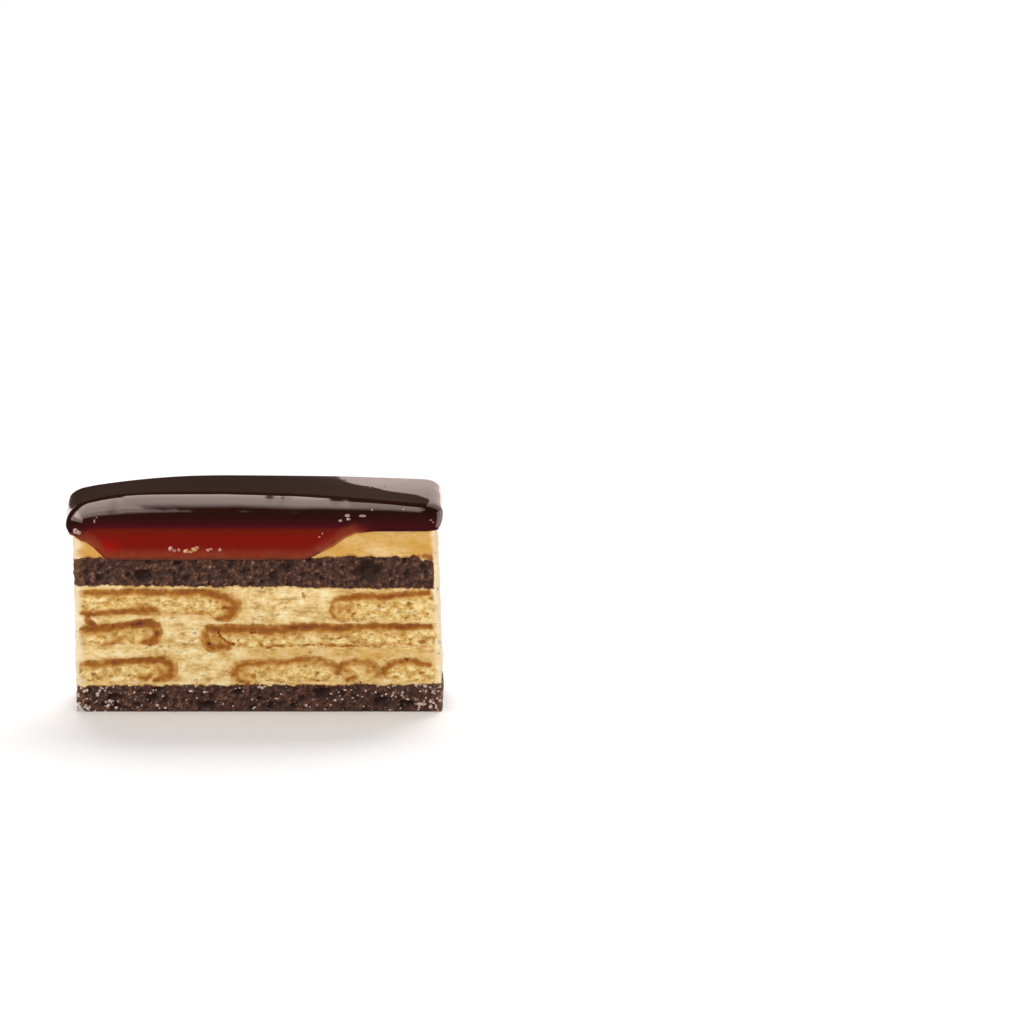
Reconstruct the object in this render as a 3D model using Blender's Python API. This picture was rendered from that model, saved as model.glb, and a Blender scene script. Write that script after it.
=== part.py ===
"""A slice of layered caramel cake, cut at the front and the back.

From the bottom up: cocoa sponge, cream set with sponge fingers, cocoa sponge, a thin coat of cream, and a
thick caramel glaze that bulges over the edges and has run down both cut faces.
X runs along the cut face, Y goes back into the slice and Z is up. The origin is under the middle.
"""

import math

import bmesh
import bpy

# Driving dimensions, in metres.
DEPTH = 0.044  # from one cut face to the other
GAP = 0.0003  # left between neighbouring pieces

BASE_TOP = 0.0090  # height at which the lower sponge ends
FILLING_TOP = 0.0420  # the cream with the fingers ends
SPONGE_TOP = 0.0518  # the upper sponge ends
CREAM_TOP = 0.0608  # the thin cream ends and the glaze lies on it

LEFT_FOOT, LEFT_HEAD = -0.0588, -0.0597  # the left side at the bottom and at the cream's top
RIGHT_FOOT, RIGHT_HEAD = 0.0619, 0.0598  # the right side, which leans more
SPONGE_END = 0.0592  # the upper sponge stops here, and cream closes the right side
CHIP_WIDTH, CHIP_HEIGHT = 0.0033, 0.0028  # crumb broken off the lower left edge
STATIONS = 24  # steps along a layer's edge

# The glaze: half its length and depth over the rim, and its heights.
GLAZE_HALF_LENGTH, GLAZE_HALF_DEPTH = 0.0625, 0.0240
GLAZE_CORNER, LIP_CORNER = 0.0060, 0.0021  # radius of its corners seen from above, at its widest and at its lip
GLAZE_CREST, CREST_X = 0.0729, -0.012  # highest level, and where along the slice it is
LEFT_FALL_FRONT, LEFT_FALL_BACK = (0.0056, 4.6), (0.0054, 2.1)  # fall to the left end, and its power
RIGHT_FALL, RIGHT_FALL_FRONT = (0.0013, 1.4), (0.0035, 1.7)  # the same to the right, and what the front adds
TOP_INSETS = (0.0220, 0.0160, 0.0110)  # rings on the top, counted in from the rim
RIM_WIDTH = 0.0075  # where the round shoulder can start, counted in from the rim
LEFT_REACH, RIGHT_REACH, BACK_REACH = 0.0044, 0.0035, 0.0030  # of the round shoulder at the ends and behind
LIP_LEVEL = 0.0604  # lower edge of the rim where nothing ran down
LEFT_SAG = 0.0020  # how much lower that edge is at the left end
LIP_ROUND = 0.0004  # radius of the rim's lower edge
FACE_UNDERCUT, END_UNDERCUT = 0.0010, 0.0013  # how far the rim draws in under its widest line
INNER_CORNER = 0.0004  # radius of the rim's inner corners, round the upright edges of the cream
SIDE_CLEARANCE = 0.0005  # between the rim and the leaning sides
BACK_RUN = 0.0030  # the shallow runs at the back
BACK_RUN_LENGTH = 0.046  # from one of them to the next
BACK_RUN_FADE = 0.012  # they die out this far from the ends

# Outlines of the glaze along the slice: the height of its widest line, how far the front shoulder reaches in,
# and the lower edge of what ran down the front.
WIDEST = (
    (-0.0625, 0.0618),
    (-0.0500, 0.0634),
    (-0.0250, 0.0648),
    (0.0100, 0.0650),
    (0.0350, 0.0656),
    (0.0500, 0.0660),
    (0.0625, 0.0662),
)
FRONT_SHOULDER = (
    (-0.0625, 0.0050),
    (-0.0450, 0.0070),
    (-0.0250, 0.0075),
    (0.0100, 0.0075),
    (0.0300, 0.0060),
    (0.0450, 0.0042),
    (0.0625, 0.0040),
)
FRONT_RUN = (
    (-0.0610, 0.0586),
    (-0.0584, 0.0577),
    (-0.0552, 0.0561),
    (-0.0514, 0.0533),
    (-0.0485, 0.0515),
    (0.0150, 0.0514),
    (0.0212, 0.0527),
    (0.0266, 0.0554),
    (0.0301, 0.0580),
    (0.0341, 0.0596),
    (0.0407, 0.0604),
)

CURVE_STEPS = 6  # facets of a rim's quarter-round, and of a plan corner
FACE_STEPS = 4  # rings down the rim's face
LONG_STEPS, SHORT_STEPS = 40, 10  # facets of the glaze's long and short sides
END_STEPS = 8  # facets of a finger's round end

COCOA = (0.060, 0.028, 0.018)
CREAM = (0.730, 0.500, 0.200)
BISCUIT = (0.600, 0.380, 0.140)
GLAZE = (0.050, 0.006, 0.006)

# Each finger: name, left end, right end, floor, roof at its left and right, and the reach of its two ends.
# A long reach is a whole round end; a short one is where the finger was cut off under the cream on a side.
CUT, ROUND = 0.0008, 0.0046
FINGERS = (
    ("finger_top_left", -0.0586, -0.0044, 0.0326, 0.0408, 0.0406, CUT, ROUND),
    ("finger_top_right", 0.0253, 0.0594, 0.0308, 0.0394, 0.0405, ROUND, CUT),
    ("finger_middle_left", -0.0584, -0.0307, 0.0226, 0.0283, 0.0306, CUT, ROUND),
    ("finger_middle_right", -0.0177, 0.0597, 0.0216, 0.0286, 0.0291, ROUND, CUT),
    ("finger_low_left", -0.0582, -0.0253, 0.0102, 0.0168, 0.0182, CUT, ROUND),
    ("finger_low_middle", -0.0077, 0.0272, 0.0102, 0.0182, 0.0182, ROUND, 0.0026),
    ("finger_low_cross", 0.0282, 0.0415, 0.0102, 0.0181, 0.0180, 0.0040, 0.0040),
    ("finger_low_right", 0.0425, 0.0597, 0.0102, 0.0178, 0.0176, 0.0040, CUT),
)


def ease(value, start, end):
    """0 at start and before it, 1 at end and past it, smooth between."""
    share = min(1.0, max(0.0, (value - start) / (end - start)))
    return share * share * (3 - 2 * share)


def ripple(along, height, turns, phase):
    """A slow wave of a layer's edge, from 0 to 1 along the slice."""
    return height * math.sin(2 * math.pi * turns * along + phase)


def base_top(along):
    """The lower sponge's upper edge, which rises a little to the right."""
    return BASE_TOP - 0.0006 * (1 - along) ** 2 + 0.0004 * along**2 + ripple(along, 0.0002, 3.2, 0.4)


def filling_top(along):
    """The upper sponge's lower edge."""
    return FILLING_TOP + ripple(along, 0.0003, 2.3, 1.0) + ripple(along, 0.0001, 7.0, 0.2)


def sponge_top(along):
    """The upper sponge's upper edge."""
    return SPONGE_TOP + ripple(along, 0.0002, 1.7, 2.2)


def left_side(height):
    """The leaning left side at a height."""
    return LEFT_FOOT + (LEFT_HEAD - LEFT_FOOT) * height / CREAM_TOP


def right_side(height):
    """The leaning right side at a height."""
    return RIGHT_FOOT + (RIGHT_HEAD - RIGHT_FOOT) * height / CREAM_TOP


def edge_points(height_at, shift=0.0, end=None):
    """A layer's edge from the left side to the right side, or to the given end, as (x, z) points."""
    points = []
    for station in range(STATIONS + 1):
        along = station / STATIONS
        z = height_at(along) + shift
        left, right = left_side(z), right_side(z) if end is None else end
        points.append((left + (right - left) * along, z))
    return points


def finger_outline(left, right, floor, roof_left, roof_right, reach_left, reach_right, margin=0.0):
    """A finger's section: two half-ellipses joined by its floor and its roof, grown by a margin."""
    points = []
    ends = (
        (right - reach_right, reach_right, roof_right, -90),
        (left + reach_left, -reach_left, roof_left, 90),
    )
    for centre, reach, roof, start in ends:
        turn = 180 if reach > 0 else -180
        for step in range(END_STEPS + 1):
            angle = math.radians(start + turn * step / END_STEPS)
            x = centre + (reach + math.copysign(margin, reach)) * math.cos(angle)
            z = (floor + roof) / 2 + ((roof - floor) / 2 + margin) * math.sin(angle)
            points.append((x, z))
    return points


def finish(name, bm, colour, roughness):
    """Makes the named object, with its own material."""
    bmesh.ops.recalc_face_normals(bm, faces=bm.faces[:])
    mesh = bpy.data.meshes.new(name)
    bm.to_mesh(mesh)
    bm.free()
    material = bpy.data.materials.new(name)
    material.use_nodes = True
    shader = material.node_tree.nodes["Principled BSDF"]
    shader.inputs["Base Color"].default_value = (*colour, 1.0)
    shader.inputs["Roughness"].default_value = roughness
    shader.inputs["Metallic"].default_value = 0.0
    mesh.materials.append(material)
    mesh.shade_smooth()
    mesh.set_sharp_from_angle(angle=math.radians(35))
    shape = bpy.data.objects.new(name, mesh)
    bpy.context.scene.collection.objects.link(shape)
    return shape


def cut_through(name, outlines, colour, roughness=0.8):
    """A piece that runs from the front face to the back one. Outlines after the first are pockets in it."""
    bm = bmesh.new()
    for outline in outlines:
        verts = [bm.verts.new((x, -DEPTH / 2, z)) for x, z in outline]
        for first, second in zip(verts, verts[1:] + verts[:1]):
            bm.edges.new((first, second))
    bmesh.ops.triangle_fill(bm, use_beauty=True, edges=bm.edges[:])
    grown = bmesh.ops.extrude_face_region(bm, geom=bm.faces[:])["geom"]
    bmesh.ops.translate(
        bm, vec=(0, DEPTH, 0), verts=[v for v in grown if isinstance(v, bmesh.types.BMVert)]
    )
    return finish(name, bm, colour, roughness)


def lower_sponge():
    """Cocoa sponge at the bottom, with its lower left edge chipped."""
    floor = [(LEFT_FOOT, CHIP_HEIGHT), (LEFT_FOOT + CHIP_WIDTH, 0.0), (RIGHT_FOOT, 0.0)]
    roof = edge_points(base_top, -GAP / 2)
    cut_through("sponge_base", [floor + roof[::-1]], COCOA, 0.9)


def filling():
    """Cream between the sponges, with a pocket round each finger."""
    floor = edge_points(base_top, GAP / 2)
    roof = edge_points(filling_top, -GAP / 2)
    pockets = [finger_outline(*sizes, margin=GAP) for _, *sizes in FINGERS]
    cut_through("cream_filling", [floor + roof[::-1], *pockets], CREAM, 0.6)


def fingers():
    """The sponge fingers that the cut faces show."""
    for name, *sizes in FINGERS:
        cut_through(name, [finger_outline(*sizes)], BISCUIT, 0.85)


def upper_sponge():
    """Cocoa sponge above the filling, short of the right side."""
    floor = edge_points(filling_top, GAP / 2, SPONGE_END)
    roof = edge_points(sponge_top, -GAP / 2, SPONGE_END)
    cut_through("sponge_upper", [floor + roof[::-1]], COCOA, 0.9)


def upper_cream():
    """Cream over the upper sponge, which also closes the sponge's right end."""
    floor = edge_points(sponge_top, GAP / 2, SPONGE_END + GAP)
    foot = filling_top(1.0) + GAP / 2
    flange = [(SPONGE_END + GAP, foot), (right_side(foot), foot)]
    roof = [(right_side(CREAM_TOP), CREAM_TOP), (left_side(CREAM_TOP), CREAM_TOP)]
    cut_through("cream_top", [floor + flange + roof], CREAM, 0.6)


def outline_at(outline, x):
    """The value of an outline at a place along the slice."""
    for (start, first), (end, last) in zip(outline, outline[1:]):
        if x <= end:
            share = max(0.0, (x - start) / (end - start))
            return first + (last - first) * share
    return outline[-1][1]


def glaze_top(x, y):
    """Height of the glaze, which falls towards both ends by different amounts at the front and the back."""
    to_front = min(1.0, max(0.0, 0.5 - y / (2 * GLAZE_HALF_DEPTH)))
    left = max(0.0, (CREST_X - x) / (CREST_X + GLAZE_HALF_LENGTH))
    right = max(0.0, (x - CREST_X) / (GLAZE_HALF_LENGTH - CREST_X))
    (front_fall, front_power), (back_fall, back_power) = LEFT_FALL_FRONT, LEFT_FALL_BACK
    at_front, at_back = front_fall * left**front_power, back_fall * left**back_power
    left_fall = at_back + (at_front - at_back) * ease(to_front, 0.1, 1.0)
    (fall, power), (front_fall, front_power) = RIGHT_FALL, RIGHT_FALL_FRONT
    right_fall = fall * right**power + front_fall * right**front_power * to_front**1.6
    return GLAZE_CREST - left_fall - right_fall


def shoulder_reach(x, y):
    """How far in from the rim the round shoulder starts: widest along the front."""
    to_front = ease(-y, -0.5 * GLAZE_HALF_DEPTH, 0.5 * GLAZE_HALF_DEPTH)
    along_side = BACK_REACH + (outline_at(FRONT_SHOULDER, x) - BACK_REACH) * to_front
    at_end = LEFT_REACH if x < 0 else RIGHT_REACH
    to_end = ease(abs(x), GLAZE_HALF_LENGTH - 0.009, GLAZE_HALF_LENGTH - 0.001)
    return along_side + (at_end - along_side) * to_end


def bare_lip(x):
    """Lower edge of the rim without what ran down."""
    return LIP_LEVEL - LEFT_SAG * ease(x, -0.056, -0.061)


def lip_height(x, y):
    """Lower edge of the glaze's rim: one broad run in front and shallow ones behind."""
    front = ease(-y, GLAZE_HALF_DEPTH * 0.7, GLAZE_HALF_DEPTH * 0.9)
    behind = ease(y, GLAZE_HALF_DEPTH * 0.8, GLAZE_HALF_DEPTH * 0.9)
    fade = ease(GLAZE_HALF_LENGTH - abs(x), 0.0, BACK_RUN_FADE)
    back_run = BACK_RUN * fade * (0.5 + 0.5 * math.sin(2 * math.pi * x / BACK_RUN_LENGTH))
    level = bare_lip(x) - behind * back_run
    return level + (outline_at(FRONT_RUN, x) - level) * front


def plan_points(half_length, half_depth, corner):
    """A rounded rectangle seen from above, anticlockwise, with the same number of points at every size."""
    points = []
    for quarter, (side_x, side_y) in enumerate(((1, 1), (-1, 1), (-1, -1), (1, -1))):
        centre_x = side_x * (half_length - corner)
        centre_y = side_y * (half_depth - corner)
        for step in range(CURVE_STEPS + 1):
            turn = math.pi / 2 * (quarter + step / CURVE_STEPS)
            points.append((centre_x + corner * math.cos(turn), centre_y + corner * math.sin(turn)))
        along_x = quarter % 2 == 0
        steps = LONG_STEPS if along_x else SHORT_STEPS
        length = 2 * ((half_length if along_x else half_depth) - corner)
        start_x, start_y = points[-1]
        heading = math.pi / 2 * (quarter + 2)
        for step in range(1, steps):
            run = length * step / steps
            points.append((start_x + run * math.cos(heading), start_y + run * math.sin(heading)))
    return points


def glaze_rings():
    """The glaze's surface as rings of points, from the middle of its top round the rim to its underside."""
    rings = []
    for inset in TOP_INSETS:
        plan = plan_points(GLAZE_HALF_LENGTH - inset, GLAZE_HALF_DEPTH - inset, INNER_CORNER)
        rings.append([(x, y, glaze_top(x, y)) for x, y in plan])

    for step in range(CURVE_STEPS + 1):
        inset = RIM_WIDTH * (1 - math.sin(math.pi / 2 * step / CURVE_STEPS))
        corner = max(GLAZE_CORNER - inset, INNER_CORNER)
        ring = []
        for x, y in plan_points(GLAZE_HALF_LENGTH - inset, GLAZE_HALF_DEPTH - inset, corner):
            top = glaze_top(x, y)
            out = max(0.0, 1.0 - inset / shoulder_reach(x, y))
            ring.append((x, y, top - (top - outline_at(WIDEST, x)) * (1 - math.sqrt(1 - out * out))))
        rings.append(ring)

    outer = plan_points(GLAZE_HALF_LENGTH, GLAZE_HALF_DEPTH, GLAZE_CORNER)
    lip_length, lip_depth = GLAZE_HALF_LENGTH - END_UNDERCUT, GLAZE_HALF_DEPTH - FACE_UNDERCUT
    inner = plan_points(lip_length, lip_depth, LIP_CORNER)
    for step in range(1, FACE_STEPS + 1):
        ring = []
        for (x, y), (inner_x, inner_y) in zip(outer, inner):
            widest, lip = outline_at(WIDEST, x), lip_height(x, y) + LIP_ROUND
            z = widest + (lip - widest) * step / FACE_STEPS
            drawn = ease(widest - z, 0.0, widest - bare_lip(x) - LIP_ROUND)
            ring.append((x + (inner_x - x) * drawn, y + (inner_y - y) * drawn, z))
        rings.append(ring)
    for turn in (math.pi / 4, math.pi / 2):
        inset = LIP_ROUND * (1 - math.cos(turn))
        lift = LIP_ROUND * (1 - math.sin(turn))
        plan = plan_points(lip_length - inset, lip_depth - inset, LIP_CORNER - inset)
        rings.append([(x, y, lip_height(*place) + lift) for (x, y), place in zip(plan, outer)])

    half_length = (RIGHT_HEAD - LEFT_HEAD) / 2 + SIDE_CLEARANCE
    inside = plan_points(half_length, DEPTH / 2 + GAP, INNER_CORNER)
    rings.append([(x, y, lip_height(*place) + GAP) for (x, y), place in zip(inside, outer)])
    rings.append([(x, y, CREAM_TOP + GAP) for x, y in inside])
    return rings


def glaze():
    """The thick caramel glaze, as one solid closed above and below."""
    bm = bmesh.new()
    loops = []
    for ring in glaze_rings():
        verts = [bm.verts.new(point) for point in ring]
        loops.append([bm.edges.new(pair) for pair in zip(verts, verts[1:] + verts[:1])])
    for upper, lower in zip(loops, loops[1:]):
        bmesh.ops.bridge_loops(bm, edges=upper + lower)
    bmesh.ops.holes_fill(bm, edges=loops[0] + loops[-1])
    bmesh.ops.triangulate(bm, faces=bm.faces[:])
    finish("caramel_glaze", bm, GLAZE, 0.08)


def main():
    for leftover in list(bpy.data.objects):
        bpy.data.objects.remove(leftover)
    lower_sponge()
    filling()
    fingers()
    upper_sponge()
    upper_cream()
    glaze()


main()
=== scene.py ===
"""Looks of the slice of layered caramel cake: crumb, cream, browned sponge fingers and a glossy glaze.

X runs along the cut face, Y goes back into the slice and Z is up, in metres.
"""

import math

import bmesh
import bpy
import numpy as np
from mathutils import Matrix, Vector, kdtree, noise
from mathutils.bvhtree import BVHTree


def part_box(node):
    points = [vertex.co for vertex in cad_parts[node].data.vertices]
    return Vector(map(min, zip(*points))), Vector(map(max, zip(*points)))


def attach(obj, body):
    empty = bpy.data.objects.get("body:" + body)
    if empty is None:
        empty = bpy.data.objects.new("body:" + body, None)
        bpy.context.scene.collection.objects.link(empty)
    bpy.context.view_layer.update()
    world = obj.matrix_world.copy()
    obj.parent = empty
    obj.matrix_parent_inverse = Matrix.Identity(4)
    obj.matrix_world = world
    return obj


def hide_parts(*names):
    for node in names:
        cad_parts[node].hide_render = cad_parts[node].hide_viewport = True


bl_info = {
    "name": "Caramel Cake Slice",
    "version": (1, 0, 0),
    "blender": (4, 5, 0),
    "location": "View3D > Sidebar > Cake",
    "description": "Builds a slice of layered caramel cake round its solid model",
    "category": "Add Mesh",
}

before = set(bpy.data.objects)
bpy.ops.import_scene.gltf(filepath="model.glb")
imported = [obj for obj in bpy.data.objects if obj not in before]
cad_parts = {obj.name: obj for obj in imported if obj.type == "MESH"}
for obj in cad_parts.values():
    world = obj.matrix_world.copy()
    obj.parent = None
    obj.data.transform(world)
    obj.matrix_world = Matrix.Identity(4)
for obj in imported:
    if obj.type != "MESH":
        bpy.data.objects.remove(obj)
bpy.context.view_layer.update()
noise.seed_set(7)  # the vector noise would otherwise differ from run to run

MM = 0.001
IMAGE_PIXELS = 1024
CAMERA_RISE = math.radians(8.5)

# Faces and levels of the slice, read from its solids.
FRONT, BACK = (corner.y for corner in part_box("cream_filling"))
BASE_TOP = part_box("sponge_base")[1].z - 0.4 * MM
FILLING_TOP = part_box("sponge_upper")[0].z + 0.3 * MM
SPONGE_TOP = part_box("sponge_upper")[1].z - 0.1 * MM
CREAM_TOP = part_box("cream_top")[1].z
SPONGE_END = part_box("sponge_upper")[1].x  # cream closes the right side past it
LEFT_FOOT, LEFT_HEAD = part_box("sponge_base")[0].x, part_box("cream_top")[0].x
RIGHT_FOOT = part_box("sponge_base")[1].x
RIGHT_LEAN = (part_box("cream_top")[1].x - RIGHT_FOOT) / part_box("cream_top")[0].z
GLAZE_LOW, GLAZE_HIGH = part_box("caramel_glaze")
CHIP_WIDTH, CHIP_HEIGHT = 3.3 * MM, 2.8 * MM  # crumb missing from the lower left edge

FINGER_NODES = (
    "finger_top_left",
    "finger_top_right",
    "finger_middle_left",
    "finger_middle_right",
    "finger_low_left",
    "finger_low_middle",
    "finger_low_cross",
    "finger_low_right",
)
SIDE_COAT = 2.5 * MM  # a finger that ends this near a side was cut off there, and has no round end


def linear(code):
    """The linear red, green and blue of an sRGB hex colour."""
    channels = (int(code[at : at + 2], 16) / 255 for at in (1, 3, 5))
    return tuple(c / 12.92 if c <= 0.04045 else ((c + 0.055) / 1.055) ** 2.4 for c in channels)


def ease(value, start, end):
    """0 at start and before it, 1 at end and past it, smooth between."""
    share = min(1.0, max(0.0, (value - start) / (end - start)))
    return share * share * (3 - 2 * share)


def mix(first, second, share):
    """Between two values, by a share."""
    return first + (second - first) * share


class CakeSliceSettings(bpy.types.PropertyGroup):
    """Sizes and colours that change how the slice looks."""

    cell: bpy.props.FloatProperty(
        name="Surface cell",
        description="Spacing of the points on a cut face",
        default=0.32 * MM,
        unit="LENGTH",
    )
    pore: bpy.props.FloatProperty(
        name="Sponge pore",
        description="Distance between the larger pores of the cocoa sponge",
        default=1.7 * MM,
        unit="LENGTH",
    )
    cocoa: bpy.props.FloatVectorProperty(
        name="Cocoa sponge",
        description="Colour of the cocoa crumb",
        default=linear("#58382b"),
        subtype="COLOR",
    )
    cream: bpy.props.FloatVectorProperty(
        name="Cream",
        description="Colour of the caramel cream",
        default=linear("#f1d490"),
        subtype="COLOR",
    )
    biscuit: bpy.props.FloatVectorProperty(
        name="Finger crumb",
        description="Colour inside a sponge finger",
        default=linear("#ecc984"),
        subtype="COLOR",
    )
    browned: bpy.props.FloatVectorProperty(
        name="Finger crust",
        description="Colour of the browned crust on the sponge fingers",
        default=linear("#985708"),
        subtype="COLOR",
    )
    caramel: bpy.props.FloatVectorProperty(
        name="Thin glaze",
        description="Colour of the glaze where cream shines through it",
        default=linear("#7b150d"),
        subtype="COLOR",
    )


# ---------------------------------------------------------------- shapes


def side_x(side, z):
    """Where the leaning left (-1) or right (1) side stands at a height."""
    if side < 0:
        return mix(LEFT_FOOT, LEFT_HEAD, z / CREAM_TOP)
    return RIGHT_FOOT + RIGHT_LEAN * z


def place_at(share, z, end=None):
    """The place along the slice at a share of the way from its left side to its right side or an end."""
    return mix(side_x(-1, z), side_x(1, z) if end is None else end, share)


def ripple(x, size, seed):
    """An uneven line's height, from about -1 to 1, with waves about a size long."""
    return 1.4 * noise.noise(Vector((x / size, seed, 0.37)))


def torn(x, seed):
    """How far a torn edge of sponge stands off its line, at a place along the slice."""
    waves = 0.4 * ripple(x, 4.5 * MM, seed) + 0.3 * ripple(x, 1.5 * MM, seed + 3.4)
    return (waves + 0.2 * ripple(x, 0.7 * MM, seed + 5.2)) * MM


def base_top(x):
    """The lower sponge's torn upper edge, which rises a little to the right."""
    lift = 0.5 * MM * ease(x, -60 * MM, -25 * MM) + 0.4 * MM * ease(x, 40 * MM, 62 * MM)
    return BASE_TOP - 0.6 * MM + lift + torn(x, 1.7)


def filling_top(x):
    """The upper sponge's torn lower edge, which falls a little to the right."""
    fall = 0.8 * MM * ease(x, -60 * MM, 45 * MM)
    return FILLING_TOP + 0.35 * MM - fall + torn(x, 2.9)


def sponge_top(x):
    """The upper sponge's torn upper edge, which rises to the right and is round at the right end."""
    lift = 0.9 * MM * ease(x, 5 * MM, 50 * MM)
    past = min(1.0, max(0.0, (x - SPONGE_END) / (2.6 * MM) + 1.0))
    drop = 1.4 * MM * (1.0 - math.sqrt(1.0 - past * past)) + 1.7 * MM * ease(x, 53.2 * MM, 56.4 * MM)
    lift += 0.4 * MM * ease(x, 27 * MM, 20 * MM) * ease(x, -56 * MM, -48 * MM)
    return SPONGE_TOP - 0.2 * MM + lift - drop + 1.25 * torn(x, 4.1)


def pores(point, size, share):
    """How far into a round pore a point lies, 0 to 1, with one pore in a share of the cells."""
    distances, centres = noise.voronoi(point / size)
    lot = 0.5 + 0.5 * noise.cell(centres[0] * 9.7)
    if lot > share:
        return 0.0
    radius = 0.28 + 0.30 * lot / share
    depth = max(0.0, 1.0 - distances[0] / radius)
    return depth * (2.0 - depth)


def lumps(point, size, octaves=3):
    """Uneven lumps about a size apart, from about -1 to 1."""
    return noise.fractal(point / size, 1.0, 2.0, octaves)


def cut_block(sheet, columns, rows, side_steps, holes=None):
    """A closed block between the cut faces: a grid in the front face, pushed back through the slice.

    The sheet turns a place on the grid, 0 to 1 both ways, into (x, z).
    """
    bm = bmesh.new()
    bmesh.ops.create_grid(bm, x_segments=columns, y_segments=rows, size=0.5)
    end_marks = bm.verts.layers.int.new("end")
    for vert in bm.verts:
        x, z = sheet(vert.co.x + 0.5, vert.co.y + 0.5)
        vert.co = (x, FRONT, z)
    if holes:
        holes(bm)
    for vert in bm.verts:
        from_side = min(abs(vert.co.x - side_x(side, vert.co.z)) for side in (-1, 1))
        vert[end_marks] = int(vert.is_boundary and from_side < 0.01 * MM)
    grown = bmesh.ops.extrude_face_region(bm, geom=bm.faces[:])["geom"]
    bmesh.ops.translate(
        bm, vec=(0, BACK - FRONT, 0), verts=[v for v in grown if isinstance(v, bmesh.types.BMVert)]
    )
    bars = [
        e
        for e in bm.edges
        if all(v[end_marks] for v in e.verts)
        and abs(e.verts[0].co.y - e.verts[1].co.y) > 0.5 * (BACK - FRONT)
    ]
    if bars and side_steps > 1:
        bmesh.ops.subdivide_edges(bm, edges=bars, cuts=side_steps - 1, use_grid_fill=True)
    bmesh.ops.recalc_face_normals(bm, faces=bm.faces[:])
    bm.normal_update()
    return bm


def press_in(bm, relief, corner=0.0):
    """Moves each point of a block's upright faces in by its relief, and rounds the block's upright corners.

    Returns what the relief says of each point besides its depth.
    """
    marks = []
    moves = []
    for vert in bm.verts:
        from_side = min(vert.co.x - side_x(-1, vert.co.z), side_x(1, vert.co.z) - vert.co.x)
        outward = Vector((vert.normal.x if from_side < 0.05 * MM else 0.0, vert.normal.y, 0.0))
        if outward.length > 0.2:
            outward.normalize()
        else:
            outward = Vector((0.0, 0.0, 0.0))
        depth, mark = relief(vert.co)
        depth -= (0.3 + 0.28 * lumps(vert.co, 3.5 * MM)) * MM * abs(outward.x)
        marks.append(mark)
        from_face = min(vert.co.y - FRONT, BACK - vert.co.y)
        rounding = Vector((0.0, 0.0, 0.0))
        if corner and from_face < corner and from_side < corner:
            inner = Vector((corner - max(from_side, 0.0), corner - max(from_face, 0.0)))
            reach = inner.length
            if reach > 1e-9:
                pull = inner * (corner / max(reach, corner) - 1.0)
                along = pull.x * math.copysign(1.0, vert.co.x)
                rounding = Vector((along, pull.y * math.copysign(1.0, vert.co.y), 0.0))
        moves.append(rounding - outward * depth)
    for vert, move in zip(bm.verts, moves):
        vert.co += move
    return marks


def add_piece(name, bm, material, node, slot, **attributes):
    """Makes a finished piece that stands for a solid and rides with the slice."""
    mesh = bpy.data.meshes.new(name)
    bm.to_mesh(mesh)
    bm.free()
    for attribute, values in attributes.items():
        layer = mesh.attributes.new(attribute, "FLOAT", "POINT")
        layer.data.foreach_set("value", values)
    mesh.materials.append(material)
    mesh.shade_smooth()
    mesh.set_sharp_from_angle(angle=math.radians(70))
    piece = bpy.data.objects.new(name, mesh)
    bpy.context.scene.collection.objects.link(piece)
    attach(piece, "root")
    if node:
        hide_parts(node)
    return piece


# Larger pores that show in the upper sponge: place along the slice, height, half width, half height.
BIG_PORES = (
    (-37.0, 45.6, 3.0, 2.2), (38.0, 47.2, 4.4, 3.5), (6.2, 45.4, 1.3, 1.6), (11.0, 47.8, 1.3, 1.0),
    (-9.8, 46.8, 1.1, 0.9), (-25.3, 50.0, 1.3, 0.9), (50.5, 46.3, 1.2, 1.5), (22.5, 44.6, 0.9, 0.8),
)


# The same in the lower sponge.
BASE_PORES = (
    (-46.5, 4.8, 2.2, 1.3), (-46.0, 1.6, 2.0, 1.0), (-34.0, 4.6, 2.2, 1.5), (-15.5, 2.3, 2.9, 1.4),
    (-6.0, 6.6, 1.8, 1.0), (-0.8, 1.4, 1.1, 1.3), (1.9, 4.3, 1.3, 1.0), (5.4, 1.9, 1.9, 1.3),
    (13.0, 2.0, 1.7, 1.0), (22.5, 6.2, 3.0, 2.2), (42.6, 3.2, 3.0, 1.9), (50.4, 2.5, 2.0, 1.7),
)


def sponge_relief(point, pore, hollows):
    """Depth of the torn cocoa crumb at a point, and its painted shade by relief, 0 (darkest) in a pore to 1
    (lightest) on a clump.
    """
    at = point + 0.4 * MM * noise.noise_vector(point / (0.9 * MM))
    large = pores(at, 1.5 * pore, 0.42)
    small = pores(at + Vector((0.1, 0.2, 0.3)), 0.65 * pore, 0.5)
    nodule = 0.5 - noise.voronoi(at / (1.15 * MM))[0][0]
    clump = 0.55 * lumps(at, 1.7 * MM, 4) + 0.75 * nodule
    depth = 0.7 * MM * large + 0.35 * MM * small - 0.36 * MM * clump + 0.15 * MM * lumps(point, 7 * MM, 2)
    depth = max(depth + 0.1 * MM, -0.1 * MM)
    # Painted shade by relief: dark in the pores, lighter on the clumps.
    raised = 0.5 + 0.65 * clump - 0.6 * large - 0.3 * small
    # Each listed hollow is dented in and painted darker still, as shade.
    for x, z, half_width, half_height in hollows:
        away = math.hypot((at.x / MM - x) / half_width, (at.z / MM - z) / half_height)
        away += 0.3 * lumps(point, 1.6 * MM)
        if away < 1.15:
            bowl = min(1.0, 1.3 * (1.15 - away))
            depth += 1.3 * MM * bowl * min(1.0, half_width / 2.5)
            raised -= 1.1 * bowl
    return depth, min(1.0, max(0.0, raised))


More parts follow.
